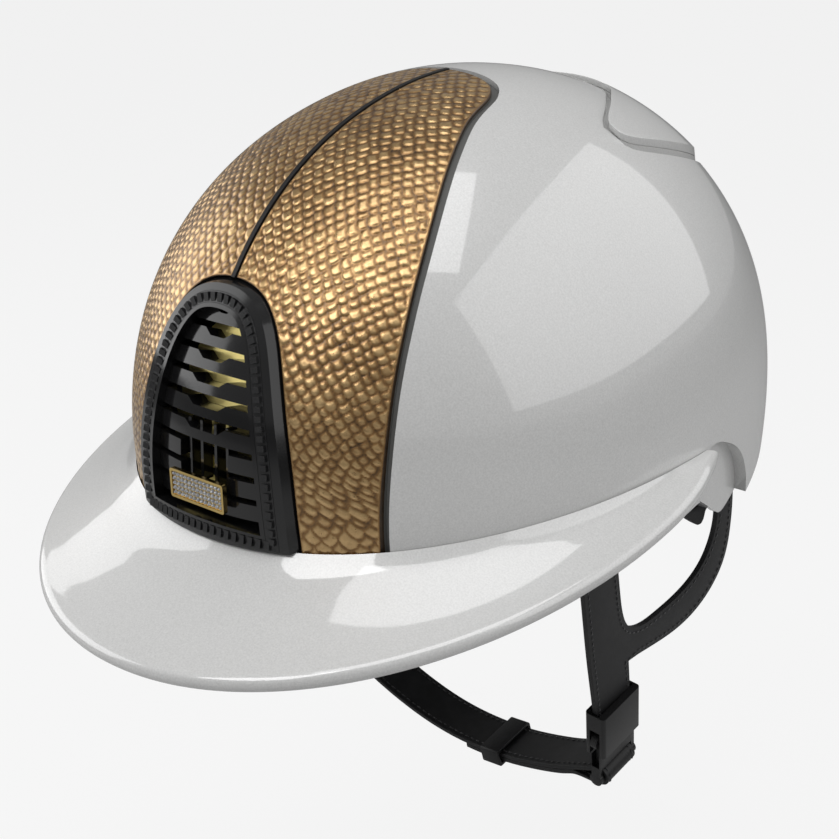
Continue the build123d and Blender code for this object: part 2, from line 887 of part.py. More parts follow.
@lru_cache(maxsize=None)
def flat_strap(foot_z):
    """Left strap down to foot_z: front branch, swept rear branch and the leg to the buckle."""
    front = [strap_place(*point) for point in front_edge]
    crotch = [strap_place(*point) for point in crotch_edge]
    lower = [strap_place(*point) for point in lower_edge]
    corner = strap_place(*leg_corner)
    foot = (strap_place(leg_foot_rear, foot_z), strap_place(leg_foot_front, foot_z))
    edges = Spline(*front) + Spline(*crotch) + Spline(*lower)
    edges += Line(front[0], crotch[0])
    edges += Line(crotch[-1], lower[0])
    edges += Polyline(lower[-1], corner, *foot, front[-1])
    return extrude(make_face(edges), strap_wall / 2, dir=strap_plane.z_dir, both=True)


def harness_strap(side, foot_z):
    """Strap of one side, with holes for its two rivets."""
    beyond = rim_block(0.0) - blank(shell_wall + seat_gap)
    strap = flat_strap(foot_z).cut(beyond, *[rivet(y, z, seat_gap) for y, z in anchor_spots])
    return mirrored(strap, side)


anchor_spots = ((anchor_front_y, anchor_front_z), (anchor_rear_y, anchor_rear_z))


def rivet(y, z, step):
    """Rivet with a flat head on the anchor's inner face and a shank outwards, grown by step."""
    x = strap_place(y, z)[0] - anchor_inner
    shank = Cylinder(rivet_radius + step, rivet_length, align=(Align.CENTER, Align.CENTER, Align.MIN))
    head = Cylinder(
        rivet_head_radius + step, rivet_head_height, align=(Align.CENTER, Align.CENTER, Align.MAX)
    )
    return Pos(x, y, z) * Rot(0, 90, 0) * (shank + head)


def strap_rivets():
    """Two rivets each side."""
    inside = blank(shell_wall + seat_gap)
    left = [rivet(y, z, 0.0) & inside for y, z in anchor_spots]
    return Compound(children=left + [mirrored(one, -1) for one in left])


def anchor_block(y, z, step):
    """Block round a strap's end from its inner face out to the shell, grown by step."""
    x = strap_place(y, z)[0] - anchor_inner
    block = Box(
        outside.half_width - x, anchor_width + 2 * step, anchor_height + 2 * step,
        align=(Align.MIN, Align.CENTER, Align.CENTER),
    )
    return Pos(x - step, y, z) * block


def strap_anchors():
    """Plastic blocks that hold the four strap ends to the shell's inner face."""
    wall = blank(shell_wall + seat_gap)
    channel = Box(anchor_width + overrun, anchor_height + anchor_overlap, strap_wall + 2 * soft_gap)
    blocks = []
    for y, z in anchor_spots:
        place = Plane(origin=strap_place(y, z), x_dir=strap_plane.x_dir, z_dir=strap_plane.z_dir)
        block = (anchor_block(y, z, 0.0) & wall) - place * Pos(0, -anchor_overlap) * channel
        block -= rivet(y, z, seat_gap)
        blocks += [block, mirrored(block, -1)]
    return Compound(children=blocks)


def visor_screws(step=0.0):
    """Screws from inside the shell into the visor's collar, one each side, grown by step."""
    shank = Cylinder(screw_radius + step, screw_length, align=(Align.CENTER, Align.CENTER, Align.MIN))
    head = Cylinder(
        screw_head_radius + step, screw_head_height + step, align=(Align.CENTER, Align.CENTER, Align.MIN)
    )
    left = Pos(screw_x, screw_y, screw_z) * Rot(0, 90, 0) * (shank + head)
    return [left, mirrored(left, -1)]


def foam_liner():
    """Shock-absorbing liner with air channels, an intake behind the grille and exhaust ducts."""
    foam = foam_block() & rim_block(foam_rim_lift)
    pocket = arch_prism(window_step - frame_wall - soft_gap) - dome(outside, pocket_inset)
    intake = RectangleRounded(2 * intake_half_width, intake_height, intake_corner)
    size = 2 * outside.rear
    slabs = [Pos(x, 0, 0) * Box(channel_width, size, size) for x in channel_places]
    channels = slabs[0].fuse(*slabs[1:]) & dome(cavity, -channel_depth)
    cuts = [pocket, extrude(grille_plane * intake, overrun, both=True), channels]
    cuts += exhaust_holes(0.0, exhaust_duct_floor) + visor_screws(soft_gap)
    return foam.cut(*cuts, *anchor_rooms())


def anchor_rooms():
    """Room left round the anchors, rivet heads and strap ends."""
    rooms = []
    for y, z in anchor_spots:
        room = anchor_block(y, z - anchor_overlap, soft_gap + anchor_overlap)
        rooms += [room, mirrored(room, -1)]
    return rooms


def liner_edge_cover():
    """Strip that closes the liner's lower edge between shell and head."""
    band = foam_block() & rim_block(edge_cover_lift)
    band -= rim_block(edge_cover_lift + edge_cover_wall)
    return band.cut(*anchor_rooms())


def prism_pad(plane, half_width, half_height):
    """Pad whose outline is a rounded rectangle, with upright tuft grooves."""
    outline = plane * RectangleRounded(2 * half_width, 2 * half_height, pad_corner)
    block = extrude(outline, outside.rear)
    lines = []
    for share in tuft_places:
        line = plane * Pos(share * half_width, 0) * Rectangle(tuft_width, 2 * half_height)
        lines.append(extrude(line, outside.rear))
    skin = (block & dome(cavity, soft_gap)) - dome(cavity, soft_gap + pad_wall)
    room = lines[0].fuse(*lines[1:]) & dome(cavity, soft_gap + pad_wall - tuft_depth)
    return skin - room


def comfort_pad(kind):
    """Pad of one named place in the cavity."""
    if kind == "brow":
        half_width, half_height, z = brow_pad
        plane = Plane(origin=(0, 0, z), x_dir=(1, 0, 0), z_dir=(0, -1, 0))
    elif kind == "nape":
        half_width, half_height, z = nape_pad_size
        plane = Plane(origin=(0, 0, z), x_dir=(1, 0, 0), z_dir=(0, 1, 0))
    elif kind == "crown":
        half_width, half_height, y = crown_pad_size
        plane = Plane(origin=(0, y, 0), x_dir=(1, 0, 0), z_dir=(0, 0, 1))
    else:
        half_width, half_height, y, z = side_pad_size
        plane = Plane(origin=(0, y, z), x_dir=(0, 1, 0), z_dir=(1, 0, 0))
    return prism_pad(plane, half_width, half_height)


def ear_flap():
    """Soft flap sewn under the liner's edge behind the left ear."""
    path = [strap_place(*point) for point in flap_points]
    face = make_face(Spline(*path) + Line(path[-1], path[0]))
    outer = strap_wall / 2 + flap_gap
    face = Pos(-outer, 0, 0) * face
    flap = extrude(face, flap_wall, dir=-strap_plane.z_dir)
    flap -= anchor_block(anchor_rear_y, anchor_rear_z, soft_gap)
    return flap - rim_block(edge_cover_lift - seat_gap)


def foot_plane(foot_z, side):
    """Plane at a strap's foot: local X along its width, Y up and Z away from the face."""
    x, y, z = strap_place(buckle_y, foot_z + strap_bite)
    return Plane(origin=(side * x, y, z), x_dir=(0, side, 0), z_dir=(side, 0, -strap_lean_z))


def slab(width, low, high, depth, centre=0.0):
    """Block between two heights of the buckle's local frame, centred across and in depth."""
    return Pos(centre, (low + high) / 2, 0) * Box(width, high - low, depth)


def buckle_shell(low, depth):
    """Rounded block round a strap's foot, down to a low height, with the slot for the strap."""
    outline = Plane.XZ * RectangleRounded(socket_width, depth, socket_round)
    block = Pos(0, socket_above, 0) * extrude(outline, socket_above - low)
    slot = slab(strap_slot_width, strap_slot_floor, socket_above + overrun, strap_slot_depth)
    return block - slot


def buckle_socket():
    """Socket on the left strap, with a pocket and side windows open to its mouth."""
    body = buckle_shell(-socket_below, socket_depth)
    body -= slab(pocket_width, -socket_below - overrun, pocket_top, pocket_depth)
    body -= slab(socket_width + overrun, -socket_below - overrun, window_top, window_depth)
    return foot_plane(left_foot_z, 1) * body


def bar_and_cheeks(top, depth, below):
    """Two cheeks down from a height, with a round bar between them."""
    reach = 2 * (cheek_inner + cheek_width)
    bar = Pos(0, -below, 0) * Rot(0, 90, 0) * Cylinder(bar_radius, reach)
    knuckle = Pos(0, -below, 0) * Rot(0, 90, 0) * Cylinder(cheek_radius, reach)
    cheeks = knuckle + slab(reach, -below, top, depth)
    return (cheeks - slab(2 * cheek_inner, -below - overrun, top + overrun, overrun)) + bar


def buckle_plug():
    """Plug with a central tongue, slots for the prongs and the bar of the chin strap."""
    body = slab(plug_body_width, plug_body_end, plug_body_top, plug_wall)
    body += slab(tongue_width, plug_body_end, tongue_top, plug_wall)
    body += bar_and_cheeks(plug_body_top, plug_wall, bar_below)
    room = 2 * (prong_inner - prong_travel - soft_gap)
    slots = slab(overrun, prong_foot - soft_gap, plug_body_top + overrun, prong_depth + 2 * soft_gap)
    slots -= slab(room, prong_foot - overrun, overrun, overrun)
    return foot_plane(left_foot_z, 1) * (body - slots)


def release_prong(side):
    """Springy prong with a thumb bump that stands out of the socket's side window."""
    middle = (prong_inner + prong_outer) / 2
    arm = slab(prong_outer - prong_inner, prong_foot, prong_top, prong_depth, side * middle)
    bump = Ellipse(prong_reach - middle, (bump_high - bump_low) / 2)
    spot = Pos(side * middle, (bump_high + bump_low) / 2, -prong_depth / 2)
    bump = extrude(spot * bump, prong_depth)
    bump -= slab(2 * prong_inner, bump_low - overrun, overrun, overrun)
    return foot_plane(left_foot_z, 1) * (arm + bump)


def strap_ring():
    """Loop at the foot of the right strap, on which the chin strap hangs."""
    body = buckle_shell(ring_block_floor, ring_depth)
    body += bar_and_cheeks(ring_block_floor, ring_depth, ring_bar_below)
    return foot_plane(right_foot_z, -1) * body


def bar_place(foot_z, below, side):
    """Place (x, z) of a bar below a strap's foot."""
    spot = foot_plane(foot_z, side) * Pos(0, -below, 0)
    return (spot.position.X, spot.position.Z)


def unit(start, end):
    """Unit vector from one (x, z) place to another."""
    run = end[0] - start[0]
    rise = end[1] - start[1]
    length = hypot(run, rise)
    return (run / length, rise / length)


def sampled(edge):
    """Places along a spline at an even spacing."""
    count = int(edge.length / path_step)
    return [((edge @ (index / count)).X, (edge @ (index / count)).Y) for index in range(count + 1)]


def half_turn(centre, direction):
    """Centre line of the band round the far side of a bar, seen along a direction of travel."""
    radius = bar_radius + soft_gap + chin_wall / 2
    heading = atan2(direction[1], direction[0])
    turns = [heading + pi / 2 - pi * index / turn_steps for index in range(turn_steps + 1)]
    return [(centre[0] + radius * cos(turn), centre[1] + radius * sin(turn)) for turn in turns]


@lru_cache(maxsize=None)
def chin_centre_lines():
    """Centre line of the worn run of the band and of the whole band with its folded ends."""
    ring = bar_place(right_foot_z, ring_bar_below, -1)
    bar = bar_place(left_foot_z, bar_below, 1)
    radius = bar_radius + soft_gap + chin_wall / 2
    leaving = unit((ring[0] + radius, ring[1]), chin_run[0])
    coming = unit(chin_run[-1], (bar[0], bar[1] + radius))
    round_ring = half_turn(ring, (-leaving[0], -leaving[1]))
    round_bar = half_turn(bar, coming)
    run = sampled(Spline(round_ring[-1], *chin_run, round_bar[0], tangents=(leaving, coming)))
    under = pushed(run, -chin_wall - fold_gap)
    merge = int(fold_merge / path_step)
    stitched = [place for place in under[merge:] if place[0] < stitch_end_x]
    tail = [place for place in under[:-merge] if place[0] > tail_end_x]
    whole = list(reversed(stitched)) + round_ring[:-1] + run + round_bar[1:] + list(reversed(tail))
    return run, whole


def chin_strap():
    """Band that hangs on the ring, runs under the chin, turns round the bar and folds back."""
    whole = chin_centre_lines()[1]
    upper = pushed(whole, chin_wall / 2)
    lower = pushed(whole, -chin_wall / 2)
    sides = Spline(*upper) + Spline(*lower)
    edges = sides + Line(upper[0], lower[0]) + Line(upper[-1], lower[-1])
    plane = Plane(origin=(0, buckle_y + chin_width / 2, 0), x_dir=(1, 0, 0), z_dir=(0, -1, 0))
    return extrude(plane * make_face(edges), chin_width)


@lru_cache(maxsize=None)
def keeper_plane():
    """Plane across the doubled band at the keeper: local X along the band, Z away from the chin."""
    run = chin_centre_lines()[0]
    index = min(range(len(run)), key=lambda place: abs(run[place][0] - keeper_x))
    along = unit(run[index - 1], run[index + 1])
    middle = (chin_wall + fold_gap) / 2
    x = run[index][0] + along[1] * middle
    z = run[index][1] - along[0] * middle
    return Plane(origin=(x, buckle_y, z), x_dir=(along[0], 0, along[1]), z_dir=(along[1], 0, -along[0]))


def strap_keeper():
    """Sliding loop round the doubled band."""
    inner = (chin_width + 2 * keeper_gap, 2 * chin_wall + fold_gap + 2 * keeper_gap)
    outer = RectangleRounded(inner[0] + 2 * keeper_wall, inner[1] + 2 * keeper_wall, keeper_wall)
    ring = outer - RectangleRounded(*inner, keeper_wall / 2)
    return keeper_plane() * extrude(Plane.YZ * ring, keeper_length / 2, both=True)


def build():
    """Every node's name with its shape, still upright on the visor's plane."""
    flap = ear_flap()
    return {
        "outer_shell": outer_shell(),
        "polo_visor": polo_visor(),
        "visor_screws": Compound(children=visor_screws()),
        "panel_carrier": panel_carrier(),
        "panel_skin_left": panel_skin(1),
        "panel_skin_right": panel_skin(-1),
        "panel_piping": panel_piping(),
        "grille_frame": grille_frame(),
        "grille_beading": grille_beading(),
        "vent_shutter": vent_shutter(),
        "shutter_tab": shutter_tab(),
        "tab_stones": tab_stones(),
        "rear_vent_cover": rear_vent_cover(),
        "rear_vent_screen": rear_vent_screen(),
        "foam_liner": foam_liner(),
        "liner_edge_cover": liner_edge_cover(),
        "brow_pad": comfort_pad("brow"),
        "nape_pad": comfort_pad("nape"),
        "crown_pad": comfort_pad("crown"),
        "side_pad_left": comfort_pad("side"),
        "side_pad_right": mirrored(comfort_pad("side"), -1),
        "ear_flap_left": flap,
        "ear_flap_right": mirrored(flap, -1),
        "strap_left": harness_strap(1, left_foot_z),
        "strap_right": harness_strap(-1, right_foot_z),
        "strap_anchors": strap_anchors(),
        "strap_rivets": strap_rivets(),
        "strap_ring": strap_ring(),
        "buckle_socket": buckle_socket(),
        "buckle_plug": buckle_plug(),
        "release_prong_front": release_prong(-1),
        "release_prong_rear": release_prong(1),
        "chin_strap": chin_strap(),
        "strap_keeper": strap_keeper(),
    }


for name, shape in build().items():
    export_step(Rot(worn_pitch, 0, 0) * shape, f"parts/{name}.step")
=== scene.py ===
"""Polo helmet: finishes, soft goods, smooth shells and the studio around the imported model."""

from __future__ import annotations

import json
import logging
import math
from collections.abc import Callable, Iterable, Sequence
from dataclasses import dataclass, field
from enum import Enum

import bmesh
import bpy
import numpy as np
from mathutils import Matrix, Vector
from mathutils.kdtree import KDTree

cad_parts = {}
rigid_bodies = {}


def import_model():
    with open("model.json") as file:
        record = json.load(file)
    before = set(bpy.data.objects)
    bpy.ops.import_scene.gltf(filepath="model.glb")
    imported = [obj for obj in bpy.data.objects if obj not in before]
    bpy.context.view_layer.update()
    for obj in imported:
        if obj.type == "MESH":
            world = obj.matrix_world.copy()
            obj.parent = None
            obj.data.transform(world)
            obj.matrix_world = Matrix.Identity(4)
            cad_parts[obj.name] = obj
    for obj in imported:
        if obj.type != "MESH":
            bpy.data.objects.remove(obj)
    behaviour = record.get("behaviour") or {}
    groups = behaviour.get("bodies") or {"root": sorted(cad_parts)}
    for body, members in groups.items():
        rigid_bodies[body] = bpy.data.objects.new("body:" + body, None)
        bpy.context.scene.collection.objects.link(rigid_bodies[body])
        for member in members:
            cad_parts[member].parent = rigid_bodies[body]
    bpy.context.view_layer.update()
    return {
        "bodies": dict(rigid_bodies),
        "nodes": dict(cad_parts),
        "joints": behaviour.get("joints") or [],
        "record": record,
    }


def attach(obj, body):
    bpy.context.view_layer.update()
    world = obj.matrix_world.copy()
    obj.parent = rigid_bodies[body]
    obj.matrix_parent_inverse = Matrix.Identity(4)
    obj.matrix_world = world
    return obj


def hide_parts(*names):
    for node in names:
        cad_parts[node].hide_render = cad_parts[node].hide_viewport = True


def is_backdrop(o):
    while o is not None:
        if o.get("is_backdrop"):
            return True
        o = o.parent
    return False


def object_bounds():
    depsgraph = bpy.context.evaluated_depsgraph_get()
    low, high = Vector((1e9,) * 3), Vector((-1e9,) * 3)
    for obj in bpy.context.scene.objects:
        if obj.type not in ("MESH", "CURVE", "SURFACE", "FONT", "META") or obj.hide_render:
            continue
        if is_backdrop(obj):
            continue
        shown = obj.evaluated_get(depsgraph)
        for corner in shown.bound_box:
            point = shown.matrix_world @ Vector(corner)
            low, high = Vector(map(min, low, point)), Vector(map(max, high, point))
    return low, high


log = logging.getLogger("polo_helmet")

Colour = tuple[float, float, float, float]
MM = 0.001
PITCH = math.radians(13.34)
TINY = 1e-6


def linear(red: float, green: float, blue: float) -> Colour:
    """Turn a screen colour of 0 to 255 into linear RGBA.

    Args:
        red: Red channel.
        green: Green channel.
        blue: Blue channel.

    Returns:
        The colour in linear light with full alpha.
    """
    knee, slope, foot, power = 0.04045, 12.92, 0.055, 2.4
    values = []
    for channel in (red, green, blue):
        share = channel / 255
        values.append(share / slope if share <= knee else ((share + foot) / (1 + foot)) ** power)
    return (values[0], values[1], values[2], 1.0)


def toned(colour: Colour, factor: float, lift: float = 0.0) -> Colour:
    """Lighten or darken a colour.

    Args:
        colour: The colour.
        factor: Factor on each channel.
        lift: Amount added to each channel.

    Returns:
        The new colour, no channel over 1.
    """
    red, green, blue = (min(channel * factor + lift, 1.0) for channel in colour[:3])
    return (red, green, blue, 1.0)


def worn(points: np.ndarray) -> np.ndarray:
    """Tip points from the visor's level frame in millimetres to the worn frame in metres.

    Args:
        points: Array whose last axis holds x, y and z.

    Returns:
        Array of the same shape in metres.
    """
    cos, sin = math.cos(PITCH), math.sin(PITCH)
    x, y, z = points[..., 0], points[..., 1], points[..., 2]
    return np.stack([x, y * cos - z * sin, y * sin + z * cos], axis=-1) * MM


def level(points: np.ndarray) -> np.ndarray:
    """Bring points in metres back to the visor's level frame in millimetres.

    Args:
        points: Array whose last axis holds x, y and z.

    Returns:
        Array of the same shape in millimetres.
    """
    cos, sin = math.cos(PITCH), math.sin(PITCH)
    x, y, z = points[..., 0] / MM, points[..., 1] / MM, points[..., 2] / MM
    return np.stack([x, y * cos + z * sin, -y * sin + z * cos], axis=-1)


class Body(Enum):
    """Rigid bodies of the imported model."""

    HELMET = "helmet"
    SHUTTER = "shutter"
    CHIN = "chin_band"
    KEEPER = "keeper"
    PRONG_FRONT = "prong_front"
    PRONG_REAR = "prong_rear"


@dataclass(frozen=True)
class DomeForm:
    """Blown-up ellipse of the shell, each quarter with its own reach and fullness.

    All sizes are in millimetres in the visor's level frame.

    Attributes:
        half_width: Reach sideways.
        front: Reach to the front.
        rear: Reach to the rear.
        crown: Reach upwards.
        skirt: Reach downwards.
        side_power: Fullness across.
        front_power: Fullness of the front profile.
        rear_power: Fullness of the rear profile.
        outermost: Least depth that is searched.
        innermost: Greatest depth that is searched.
        halvings: Halvings of the search.
        step: Half of the step over which the normal is taken.
        settlings: Moves that bring a point on to a surface.
    """

    half_width: float = 113.0
    front: float = 135.1
    rear: float = 161.9
    crown: float = 139.4
    skirt: float = 180.0
    side_power: float = 2.08
    front_power: float = 2.21
    rear_power: float = 1.93
    outermost: float = -30.0
    innermost: float = 60.0
    halvings: int = 26
    step: float = 0.05
    settlings: int = 3

    def value(self, points: np.ndarray, inset: np.ndarray | float = 0.0) -> np.ndarray:
        """Form's equation, 1 on the surface moved in by inset.

        Args:
            points: Points in the level frame.
            inset: Depth of the surface, one number or one a point.

        Returns:
            Value of the equation at each point.
        """
        x, y, z = points[..., 0], points[..., 1], points[..., 2]
        reach = np.where(y < 0, self.front, self.rear) - inset
        power = np.where(y < 0, self.front_power, self.rear_power)
        height = np.where(z >= 0, self.crown, self.skirt) - inset
        profile = (np.abs(y / reach) ** power + np.abs(z / height) ** power) ** (1 / power)
        return profile ** self.side_power + np.abs(x / (self.half_width - inset)) ** self.side_power

    def depth(self, points: np.ndarray) -> np.ndarray:
        """Depth below the outside at which each point lies, by halving.

        Args:
            points: Points in the level frame.

        Returns:
            Inset of the surface through each point.
        """
        low = np.full(points.shape[:-1], self.outermost)
        high = np.full(points.shape[:-1], self.innermost)
        for _ in range(self.halvings):
            middle = (low + high) / 2
            inside = self.value(points, middle) < 1
            low = np.where(inside, middle, low)
            high = np.where(inside, high, middle)
        return (low + high) / 2

    def normal(self, points: np.ndarray) -> np.ndarray:
        """Outward unit normal of the surface through each point.

        Args:
            points: Points in the level frame.

        Returns:
            Unit vectors in the level frame.
        """
        depth = self.depth(points)
        parts = []
        for axis in range(3):
            shift = np.zeros(3)
            shift[axis] = self.step
            parts.append(self.value(points + shift, depth) - self.value(points - shift, depth))
        vector = np.stack(parts, axis=-1)
        return vector / np.maximum(np.linalg.norm(vector, axis=-1, keepdims=True), TINY**2)

    def settle(self, points: np.ndarray, inset: np.ndarray | float) -> np.ndarray:
        """Move points along the normal on to the surface at a depth.

        Args:
            points: Points near that surface in the level frame.
            inset: Depth wanted, one number or one a point.

        Returns:
            Points on the surface.
        """
        for _ in range(self.settlings):
            gap = inset - self.depth(points)
            points = points - self.normal(points) * np.asarray(gap)[..., None]
        return points


FORM = DomeForm()


# Finishes


class Wire:
    """A socket or a number that builds Math nodes when it is used in an expression."""

    def __init__(self, tree: bpy.types.NodeTree, value: bpy.types.NodeSocket | float) -> None:
        """Keep the node tree and the socket or number."""
        self.tree = tree
        self.value = value

    def _math(self, operation: str, *others: Wire | float) -> Wire:
        """Add one Math node.

        Args:
            operation: Blender's name of the operation.
            others: Further inputs after this one.

        Returns:
            The node's output.
        """
        node = self.tree.nodes.new("ShaderNodeMath")
        node.operation = operation
        for slot, item in zip(node.inputs, (self, *others)):
            item = item.value if isinstance(item, Wire) else item
            if isinstance(item, bpy.types.NodeSocket):
                self.tree.links.new(item, slot)
            else:
                slot.default_value = item
        return Wire(self.tree, node.outputs[0])

    def __add__(self, other: Wire | float) -> Wire:
        """Sum."""
        return self._math("ADD", other)

    __radd__ = __add__

    def __mul__(self, other: Wire | float) -> Wire:
        """Product."""
        return self._math("MULTIPLY", other)

    def __sub__(self, other: Wire | float) -> Wire:
        """Difference."""
        return self._math("SUBTRACT", other)

    def __rsub__(self, other: float) -> Wire:
        """Difference from a number."""
        return Wire(self.tree, other)._math("SUBTRACT", self)

    def wave(self) -> Wire:
        """Sine of the value."""
        return self._math("SINE")

    def most(self, other: Wire | float) -> Wire:
        """Larger of two values."""
        return self._math("MAXIMUM", other)


class Bench:
    """A material being made: its tree, its main shader and the calls that add nodes."""

    def __init__(self, name: str) -> None:
        """Start a material with one main shader.

        Args:
            name: Name of the finish.
        """
        self.material = bpy.data.materials.new(name)
        self.material.use_nodes = True
        self.tree = self.material.node_tree
        self.shader = self.tree.nodes["Principled BSDF"]

    def node(self, kind: str, settings: dict | None = None, **sockets: object) -> bpy.types.Node:
        """Add any node, set its settings first and then its sockets.

        Args:
            kind: Blender's type name of the node.
            settings: Properties of the node; "stops" fills a colour ramp.
            sockets: Socket names with spaces as underscores, to a value, a socket or a Wire.

        Returns:
            The new node.
        """
        made = self.tree.nodes.new(kind)
        for key, value in (settings or {}).items():
            if key == "stops":
                ramp = made.color_ramp
                while len(ramp.elements) < len(value):
                    ramp.elements.new(0.5)
                for element, (place, colour) in zip(ramp.elements, value):
                    element.position = place
                    element.color = colour
            else:
                setattr(made, key, value)
        for key, value in sockets.items():
            self.plug(made.inputs[key.replace("_", " ")], value)
        return made

    def plug(self, slot: bpy.types.NodeSocket, value: object) -> None:
        """Link or set one socket."""
        value = value.value if isinstance(value, Wire) else value
        if isinstance(value, bpy.types.NodeSocket):
            self.tree.links.new(value, slot)
        else:
            slot.default_value = value

    def wire(self, socket: bpy.types.NodeSocket) -> Wire:
        """Wrap a socket for expressions."""
        return Wire(self.tree, socket)

    def place(self, scale: float = 1.0) -> bpy.types.NodeSocket:
        """Position on the piece itself, scaled.

        Args:
            scale: Factor on the coordinates.

        Returns:
            A vector socket.
        """
        coordinates = self.node("ShaderNodeTexCoord").outputs["Object"]
        mapping = self.node("ShaderNodeMapping", Vector=coordinates)
        mapping.inputs["Scale"].default_value = (scale, scale, scale)
        return mapping.outputs["Vector"]

    def noise(self, scale: float, detail: float = 2.0, roughness: float = 0.5) -> Wire:
        """Noise on the piece's own coordinates.

        Args:
            scale: Cycles a metre.
            detail: Octaves.
            roughness: Weight of the finer octaves.

        Returns:
            Value of 0 to 1.
        """
        made = self.node("ShaderNodeTexNoise", Vector=self.place(), Scale=scale, Detail=detail)
        made.inputs["Roughness"].default_value = roughness
        return self.wire(made.outputs["Fac"])

    def cells(self, scale: float, feature: str = "F1") -> Wire:
        """Distances to scattered cells.

        Args:
            scale: Cells a metre.
            feature: Which distance.

        Returns:
            Distance value.
        """
        made = self.node("ShaderNodeTexVoronoi", {"feature": feature}, Vector=self.place(), Scale=scale)
        return self.wire(made.outputs["Distance"])

    def blend(self, share: Wire | float, first: Colour, second: Colour) -> bpy.types.NodeSocket:
        """Mix two colours by a share.

        Args:
            share: 0 for the first, 1 for the second.
            first: First colour.
            second: Second colour.

        Returns:
            A colour socket.
        """
        ramp = self.node("ShaderNodeValToRGB", {"stops": [(0.0, first), (1.0, second)]}, Fac=share)
        return ramp.outputs["Color"]

    def bump(self, height: Wire, distance: float, strength: float = 1.0) -> None:
        """Feed a height through Bump into the main shader's normal.

        Args:
            height: Height of 0 to 1.
            distance: Metres that 1 stands for.
            strength: Share of the effect.
        """
        made = self.node("ShaderNodeBump", Height=height, Distance=distance, Strength=strength)
        self.tree.links.new(made.outputs["Normal"], self.shader.inputs["Normal"])

    def set(self, **sockets: object) -> None:
        """Set or link sockets of the main shader."""
        for key, value in sockets.items():
            self.plug(self.shader.inputs[key.replace("_", " ")], value)


@dataclass(frozen=True)
class Lacquer:
    """Glossy lacquer with a fine pearl grain.

    Attributes:
        name: Name of the finish.
        colour: Colour of its lightest grains.
        roughness: Roughness under the clear coat.
        grain: Height of the grain in metres.
        coat: Weight of the clear coat.
        speck_scale: Grains a metre.
        cloud_scale: Broad, faint patches a metre.
        shade: Factor that gives the darkest grains.
        contrast: Factor on the grain's difference from its mean.
        speck_share: Share of the grain in the colour; the rest are the patches.
        unevenness: Range of the roughness from grain to grain.
    """

    name: str
    colour: Colour
    roughness: float = 0.34
    grain: float = 0.00003
    coat: float = 0.9
    speck_scale: float = 1500.0
    cloud_scale: float = 18.0
    shade: float = 0.80
    contrast: float = 1.8
    speck_share: float = 0.8
    unevenness: float = 0.10

    def make(self) -> bpy.types.Material:
        """Build the material."""
        bench = Bench(self.name)
        speck = bench.noise(self.speck_scale, 1.0)
        cloud = bench.noise(self.cloud_scale, 2.0)
        darker = toned(self.colour, self.shade)
        grains = (speck - 0.5) * self.contrast + 0.5
        mottle = grains * self.speck_share + cloud * (1 - self.speck_share)
        bench.set(Base_Color=bench.blend(mottle, darker, self.colour), Coat_Weight=self.coat)
        bench.set(Roughness=self.roughness + (speck - 0.5) * self.unevenness)
        bench.set(Coat_Roughness=0.05, Coat_IOR=1.8, Specular_IOR_Level=0.5)
        bench.bump(speck, self.grain, 0.6)
        return bench.material


@dataclass(frozen=True)
class Plastic:
    """Moulded plastic with a faint mottle and a softly uneven skin.

    Attributes:
        name: Name of the finish.
        colour: Colour of its darker patches.
        roughness: Mean roughness.
        grain: Height of the skin's grain in metres.
        grain_scale: Grains a metre.
        coat: Weight of a clear coat.
        cloud_scale: Broad patches a metre.
        grain_unevenness: Range of the roughness from grain to grain.
        cloud_unevenness: Range of the roughness from patch to patch.
    """

    name: str
    colour: Colour
    roughness: float = 0.4
    grain: float = 0.00002
    grain_scale: float = 1800.0
    coat: float = 0.0
    cloud_scale: float = 60.0
    grain_unevenness: float = 0.16
    cloud_unevenness: float = 0.08

    def make(self) -> bpy.types.Material:
        """Build the material."""
        bench = Bench(self.name)
        grain = bench.noise(self.grain_scale, 3.0)
        cloud = bench.noise(self.cloud_scale, 2.0)
        fine = (grain - 0.5) * self.grain_unevenness
        broad = (cloud - 0.5) * self.cloud_unevenness
        bench.set(Base_Color=bench.blend(cloud, self.colour, toned(self.colour, 1.35, 0.004)))
        bench.set(Roughness=self.roughness + fine + broad)
        bench.set(Coat_Weight=self.coat, Coat_Roughness=0.1, Specular_IOR_Level=0.4)
        bench.bump(grain, self.grain, 0.8)
        return bench.material


@dataclass(frozen=True)
class Metal:
    """Metal with fine brushing and slight tarnish.

    Attributes:
        name: Name of the finish.
        colour: Colour of the clean metal.
        roughness: Mean roughness.
        brushing: Height of the brushing in metres.
        metallic: Share of metal; the rest is gold-coloured lacquer.
        brush_scale: Brush marks a metre.
        tarnish_scale: Tarnished patches a metre.
        tarnish: Factor that gives the tarnished colour.
        unevenness: Range of the roughness from patch to patch.
    """

    name: str
    colour: Colour
    roughness: float = 0.25
    brushing: float = 0.00001
    metallic: float = 1.0
    brush_scale: float = 3000.0
    tarnish_scale: float = 90.0
    tarnish: float = 0.72
    unevenness: float = 0.14

    def make(self) -> bpy.types.Material:
        """Build the material."""
        bench = Bench(self.name)
        grain = bench.noise(self.brush_scale, 2.0)
        cloud = bench.noise(self.tarnish_scale, 3.0)
        darker = toned(self.colour, self.tarnish)
        bench.set(Base_Color=bench.blend(cloud, darker, self.colour), Metallic=self.metallic)
        bench.set(Roughness=self.roughness + (cloud - 0.5) * self.unevenness)
        bench.bump(grain, self.brushing, 0.7)
        return bench.material


